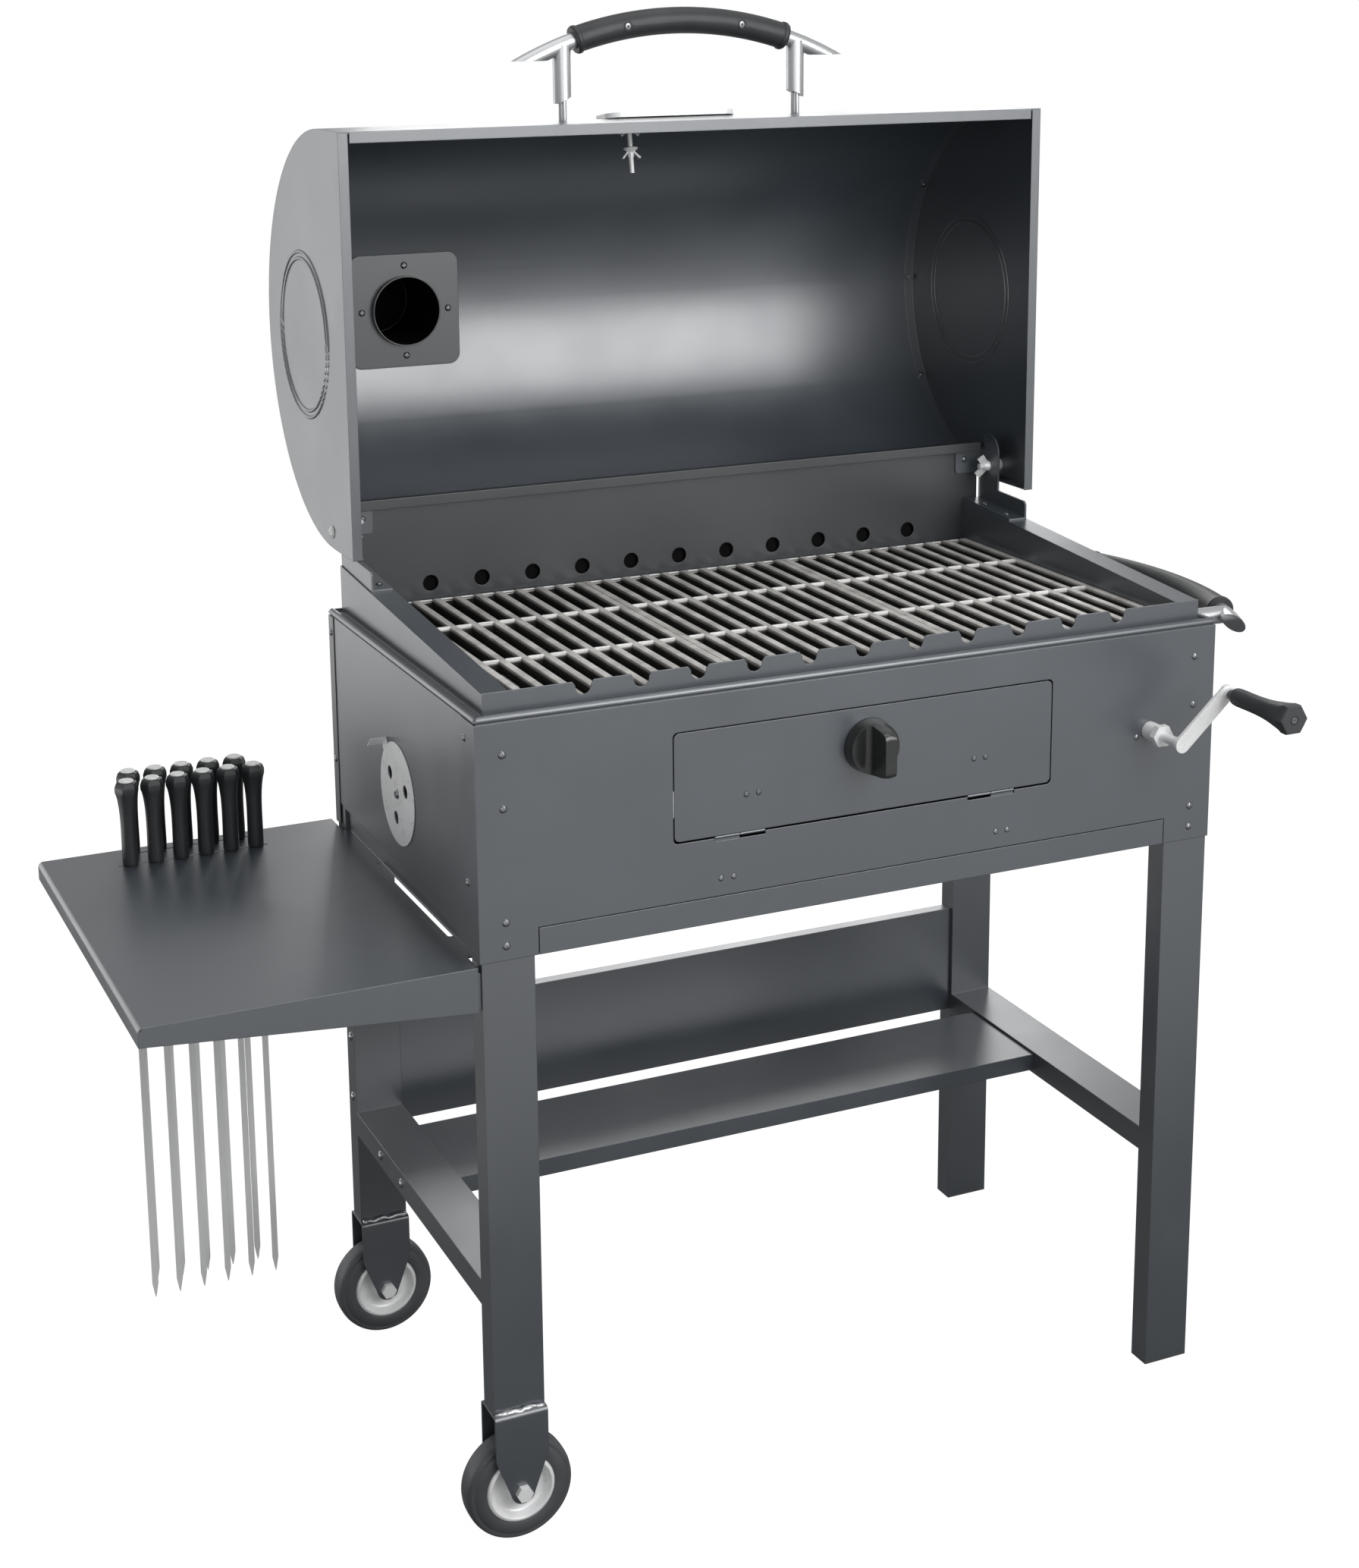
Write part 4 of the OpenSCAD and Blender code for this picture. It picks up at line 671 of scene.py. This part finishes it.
# wing nut on the thermometer's stem, inside the lid; the stem leans a little from upright
wingSize = {"lean": 8.6, "above": 0.030, "spread": 44, "tipDepth": 0.0012,
            "ear": (0.0026, 0.0066, 0.0125), "earRoot": 0.001, "earTaper": (0.9, 0.5, 1),
            "earEase": 0.0009, "earSteps": 3, "earOut": 0.0032, "earUp": 0.0030,
            "hub": [(0.0031, -0.0022), (0.0090, -0.0012), (0.0094, 0.0), (0.0080, 0.0016),
                    (0.0058, 0.0032), (0.0046, 0.0040), (0.0040, 0.0046), (0.0038, 0.0105),
                    (0.0031, 0.0105), (0.0031, -0.0022)],
            "hubSteps": 32}
low, high = nodeBox("thermometer")
stemVerts = [vert.co.copy() for vert in frame["nodes"]["thermometer"].data.vertices]
tipVerts = [co for co in stemVerts if co.z < low.z + wingSize["tipDepth"]]
tip = sum(tipVerts, Vector()) / len(tipVerts)
lean = math.radians(wingSize["lean"])
stem = Vector((0, math.sin(lean), math.cos(lean)))
nutPlace = tip + stem * wingSize["above"]
settle(stand(lathe(wingSize["hub"], wingSize["hubSteps"]), nutPlace, -stem), "wingNutHub", zinc,
       "thermometer", angle=40)
for side in (-1, 1):
    ear = block((0, 0, wingSize["ear"][2] / 2), wingSize["ear"])
    selectVerts(ear, lambda co: co.z < wingSize["earRoot"])
    bpy.ops.transform.resize(value=wingSize["earTaper"], center_override=(0, 0, 0))
    easeAll(wingSize["earEase"], wingSize["earSteps"])
    bpy.ops.transform.rotate(value=math.radians(-side * wingSize["spread"]), orient_axis="Y",
                             center_override=(0, 0, 0))
    bpy.ops.transform.translate(value=(side * wingSize["earOut"], 0, wingSize["earUp"]))
    bpy.ops.object.mode_set(mode="OBJECT")
    settle(stand(ear, nutPlace, -stem), "wingNutEar" + str(side + 2), zinc, "thermometer",
           angle=50)
print("wing nut made")


# dial in the thermometer's plate: pale face, eleven ticks and a pointer
dialSize = {"face": 0.0222, "faceSteps": 48, "thick": 0.0004, "sunk": 0.0010, "sweep": 135,
            "ticks": 11, "tick": (0.0008, 0.0042, 0.0004), "shortTick": 0.6,
            "tickRing": 0.0182, "pointer": (0.0014, 0.0200, 0.0005), "pointerRing": 0.0050,
            "reads": 96, "overlap": 0.0001, "ease": 0.0001}
plateTop = max(co.dot(stem) for co in stemVerts)
dialPlace = tip + stem * (plateTop - tip.dot(stem) - dialSize["sunk"])


def dialMark(size, ring, turned, name):
    mark = block((0, ring, dialSize["thick"] + size[2] / 2 - dialSize["overlap"]), size)
    easeAll(dialSize["ease"])
    bpy.ops.transform.rotate(value=math.radians(turned), orient_axis="Z",
                             center_override=(0, 0, 0))
    bpy.ops.object.mode_set(mode="OBJECT")
    settle(stand(mark, dialPlace, stem), name, blackPlastic, "thermometer", angle=40)


# closed disc of a given radius and thickness
def discOf(radius, thick, steps):
    return lathe([(0, 0), (radius, 0), (radius, thick), (0, thick)], steps)


settle(stand(discOf(dialSize["face"], dialSize["thick"], dialSize["faceSteps"]), dialPlace,
             stem), "thermometerFace", ribMetal, "thermometer", angle=40)
for i in range(dialSize["ticks"]):
    turned = -dialSize["sweep"] + 2 * dialSize["sweep"] * i / (dialSize["ticks"] - 1)
    wide, tall, thick = dialSize["tick"]
    if i % 2:
        tall *= dialSize["shortTick"]
    dialMark((wide, tall, thick), dialSize["tickRing"], turned, "dialTick_" + str(i + 1))
dialMark(dialSize["pointer"], dialSize["pointerRing"], dialSize["reads"], "dialPointer")
print("dial made")


# short bright rods between the bars of each grate; the outer rows lie a little lower
ribSize = {"bars": 11, "barWidth": 0.009, "rows": (0, 0.36, 0.7, 1), "endBar": 0.006,
           "radius": 0.0031, "sides": 12, "buried": 0.002, "proud": 0.0010,
           "outerDrop": 0.003, "sharpAngle": 60, "ease": 0.0012, "easeSteps": 2}
for side in ("left", "middle", "right"):
    node = "grate_" + side
    low, high = nodeBox(node)
    pitch = (high.x - low.x - ribSize["barWidth"]) / (ribSize["bars"] - 1)
    clearSelection()
    bpy.ops.mesh.primitive_cylinder_add(
        vertices=ribSize["sides"], radius=ribSize["radius"],
        depth=pitch - ribSize["barWidth"] + ribSize["buried"], rotation=(0, math.pi / 2, 0))
    rod = bpy.context.object
    bakePlace()
    bpy.ops.object.mode_set(mode="EDIT")
    bpy.ops.mesh.select_all(action="DESELECT")
    bpy.ops.mesh.select_mode(type="EDGE")
    bpy.ops.mesh.edges_select_sharp(sharpness=math.radians(ribSize["sharpAngle"]))
    bpy.ops.mesh.bevel(offset=ribSize["ease"], segments=ribSize["easeSteps"], affect="EDGES")
    bpy.ops.object.mode_set(mode="OBJECT")
    rods = []
    for row in ribSize["rows"]:
        y = low.y + row * (high.y - low.y - ribSize["endBar"]) + ribSize["endBar"] / 2
        z = high.z - ribSize["radius"] + ribSize["proud"]
        if row in (0, 1):
            z -= ribSize["outerDrop"]
        for gap in range(ribSize["bars"] - 1):
            twin = copyOf(rod, "rod")
            twin.location = (low.x + (gap + 0.5) * pitch + ribSize["barWidth"] / 2, y, z)
            rods.append(twin)
    drop(rod)
    clearSelection()
    for twin in rods:
        twin.select_set(True)
    bpy.context.view_layer.objects.active = rods[0]
    bpy.ops.object.join()
    settle(rods[0], "grateRibs_" + side, ribMetal, node, angle=40)
print("ribs made")


# soot inside the chimney and under its cap; painted shade as a near-black strip behind the holes in
# the back wall
sootAndShadeSize = {"inner": 0.0430, "outer": 0.0434, "disc": 0.0425, "thick": 0.0003, "steps": 64,
            "flueStart": 0.0005, "flueGap": 0.001, "strip": (0.86, 0.0004, 0.038),
            "stripSunk": 0.0017, "stripRise": 0.017, "stripEase": 0.0001}
low, high = nodeBox("chimney_pipe")
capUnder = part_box("chimney_cap")[0][1]
flueFoot = Vector(((low.x + high.x) / 2, low.y + sootAndShadeSize["flueStart"], (low.z + high.z) / 2))
flueLength = capUnder - sootAndShadeSize["flueGap"] - flueFoot.y
flue = lathe([(sootAndShadeSize["inner"], 0), (sootAndShadeSize["outer"], 0), (sootAndShadeSize["outer"], flueLength),
              (sootAndShadeSize["inner"], flueLength), (sootAndShadeSize["inner"], 0)], sootAndShadeSize["steps"])
settle(stand(flue, flueFoot, (0, 1, 0)), "chimneySoot", sootAndShadeCoat, "chimney_pipe")
settle(stand(discOf(sootAndShadeSize["disc"], sootAndShadeSize["thick"], sootAndShadeSize["steps"]),
             (flueFoot.x, capUnder - sootAndShadeSize["thick"], flueFoot.z), (0, 1, 0)),
       "chimneyCapSoot", sootAndShadeCoat, "chimney_cap")
# painted shade: a near-black strip behind the back wall's holes, so the holes read black
low, high = nodeBox("rear_wall")
strip = block(((low.x + high.x) / 2, high.y - sootAndShadeSize["stripSunk"],
               grateTop + sootAndShadeSize["stripRise"]), sootAndShadeSize["strip"])
easeAll(sootAndShadeSize["stripEase"])
bpy.ops.object.mode_set(mode="OBJECT")
settle(strip, "backWallPaintedShade", sootAndShadeCoat, "rear_wall")
print("soot laid")


# white studio: what the eye sees, what metal mirrors and what lights a surface are set one by one
studio = {"eyeSees": 1, "frontGlow": 0.62, "frontTop": 0.25, "backGlow": 0.62,
          "frontEdge": (0.0, 0.35), "ceiling": (0.6, 0.92), "worldDiffuse": 0.16,
          "floorSize": 5.4, "floorDrop": 0.0005, "floorColour": 0.2, "floorRough": 0.9,
          "floorSpecular": 0.1, "floorSeen": 0.94, "floorMirrored": 0.03,
          "floorInFront": 0.5, "floorShed": 0, "floorEdge": (-1.5, -0.9)}
softBoxes = {"backLeftBox": {"place": (-1.9, 2.9, 1.1), "aim": (-0.35, 0, 0.8),
                             "size": (1.6, 2.2), "power": 16},
             "frontBox": {"place": (1.2, -2.7, 2.5), "aim": (0.1, 0.3, 1.2),
                          "size": (2.2, 2.7), "power": 80},
             "leftLowBox": {"place": (-2.5, 1.0, 0.30), "aim": (-0.35, 0.0, 0.40),
                            "size": (1.8, 0.5), "power": 16},
             "backRightBox": {"place": (1.5, 2.9, 1.7), "aim": (0.3, 0, 0.9),
                              "size": (1.8, 1.4), "power": 26},
             "fillBox": {"place": (-1.0, -3.8, 1.4), "aim": (0, 0, 0.8),
                         "size": (3.0, 2.2), "power": 20},
             "topBox": {"place": (0, -0.2, 3.6), "aim": (0, 0.2, 0),
                        "size": (3.0, 2.2), "power": 24}}


def byRay(tree, seen, mirrored, shed):
    path = tree.nodes.new("ShaderNodeLightPath")
    camera = path.outputs["Is Camera Ray"]
    mirror = mathNode(tree, "MAXIMUM", path.outputs["Is Glossy Ray"],
                      path.outputs["Is Transmission Ray"])
    other = mathNode(tree, "SUBTRACT", 1, mathNode(tree, "MAXIMUM", camera, mirror))
    toEye = mathNode(tree, "MULTIPLY", camera, seen)
    toMirror = mathNode(tree, "MULTIPLY", mirror, mirrored)
    toOther = mathNode(tree, "MULTIPLY", other, shed)
    return mathNode(tree, "ADD", mathNode(tree, "ADD", toEye, toMirror), toOther)


# the mirrored studio is pale behind, and in front a bright low band under a dimmer ceiling
world = bpy.data.worlds.new("studioWorld")
bpy.context.scene.world = world
world.use_nodes = True
sky = world.node_tree
background = sky.nodes["Background"]
background.inputs["Color"].default_value = (1, 1, 1, 1)
lookingAt = sky.nodes.new("ShaderNodeTexCoord")
parts = sky.nodes.new("ShaderNodeSeparateXYZ")
sky.links.new(lookingAt.outputs["Generated"], parts.inputs["Vector"])
towardsFront = mathNode(sky, "MULTIPLY", parts.outputs["Y"], -1)
inFront = rangeBetween(sky, towardsFront, 0, 1, *studio["frontEdge"])
frontBand = rangeBetween(sky, parts.outputs["Z"], studio["frontGlow"], studio["frontTop"],
                         *studio["ceiling"])
frontShare = mathNode(sky, "MULTIPLY", inFront, frontBand)
backShare = mathNode(sky, "MULTIPLY", mathNode(sky, "SUBTRACT", 1, inFront),
                     studio["backGlow"])
mirrored = mathNode(sky, "ADD", frontShare, backShare)
sky.links.new(byRay(sky, studio["eyeSees"], mirrored, studio["worldDiffuse"]),
              background.inputs["Strength"])

# pale floor that metal mirrors as dark under the object and brighter in front of it
clearSelection()
bpy.ops.mesh.primitive_plane_add(size=studio["floorSize"], location=(0, 0, -studio["floorDrop"]))
floor = bpy.context.object
floor.name = "studioFloor"
floorFinish, floorTree, floorShader = newFinish("paleFloor")
floorShader.inputs["Base Color"].default_value = (studio["floorColour"],) * 3 + (1,)
floorShader.inputs["Roughness"].default_value = studio["floorRough"]
floorShader.inputs["Specular IOR Level"].default_value = studio["floorSpecular"]
floorShader.inputs["Emission Color"].default_value = (1, 1, 1, 1)
across = floorTree.nodes.new("ShaderNodeSeparateXYZ")
floorTree.links.new(objectSpace(floorTree), across.inputs["Vector"])
floorMirrored = rangeBetween(floorTree, across.outputs["Y"], studio["floorInFront"],
                             studio["floorMirrored"], *studio["floorEdge"])
floorTree.links.new(byRay(floorTree, studio["floorSeen"], floorMirrored, studio["floorShed"]),
                    floorShader.inputs["Emission Strength"])
floor.data.materials.append(floorFinish)


def softBox(name, place, aim, size, power):
    lamp = bpy.data.lights.new(name, "AREA")
    lamp.shape = "RECTANGLE"
    lamp.size, lamp.size_y = size
    lamp.energy = power
    holder = bpy.data.objects.new(name, lamp)
    bpy.context.scene.collection.objects.link(holder)
    holder.location = place
    holder.visible_camera = False
    holder.rotation_euler = (Vector(aim) - Vector(place)).to_track_quat("-Z", "Y").to_euler()


for name, box in softBoxes.items():
    softBox(name, **box)

view = {"place": (-1.173, -2.6518, 1.703), "turn": -24.40, "tip": 12.42, "roll": 0.49,
        "focal": 3278, "imageHeight": 2067, "imageWidth": 1792, "middle": (892, 692),
        "sensor": 36}
cameraData = bpy.data.cameras.new("photoCamera")
cameraData.sensor_width = view["sensor"]
cameraData.lens = view["focal"] / view["imageHeight"] * view["sensor"]
cameraData.shift_x = (view["imageWidth"] / 2 - view["middle"][0]) / view["imageHeight"]
cameraData.shift_y = (view["middle"][1] - view["imageHeight"] / 2) / view["imageHeight"]
camera = bpy.data.objects.new("photoCamera", cameraData)
bpy.context.scene.collection.objects.link(camera)
turn, tilt = math.radians(view["turn"]), math.radians(view["tip"])
forward = Vector((-math.sin(turn) * math.cos(tilt), math.cos(turn) * math.cos(tilt),
                  -math.sin(tilt)))
level = forward.to_track_quat("-Z", "Y").to_matrix()
rolled = Matrix.Rotation(math.radians(view["roll"]), 3, forward) @ level
camera.rotation_mode = "QUATERNION"
camera.rotation_quaternion = rolled.to_quaternion()
camera.location = view["place"]
bpy.context.scene.camera = camera
bpy.context.scene.view_settings.view_transform = "Standard"
print("studio set")
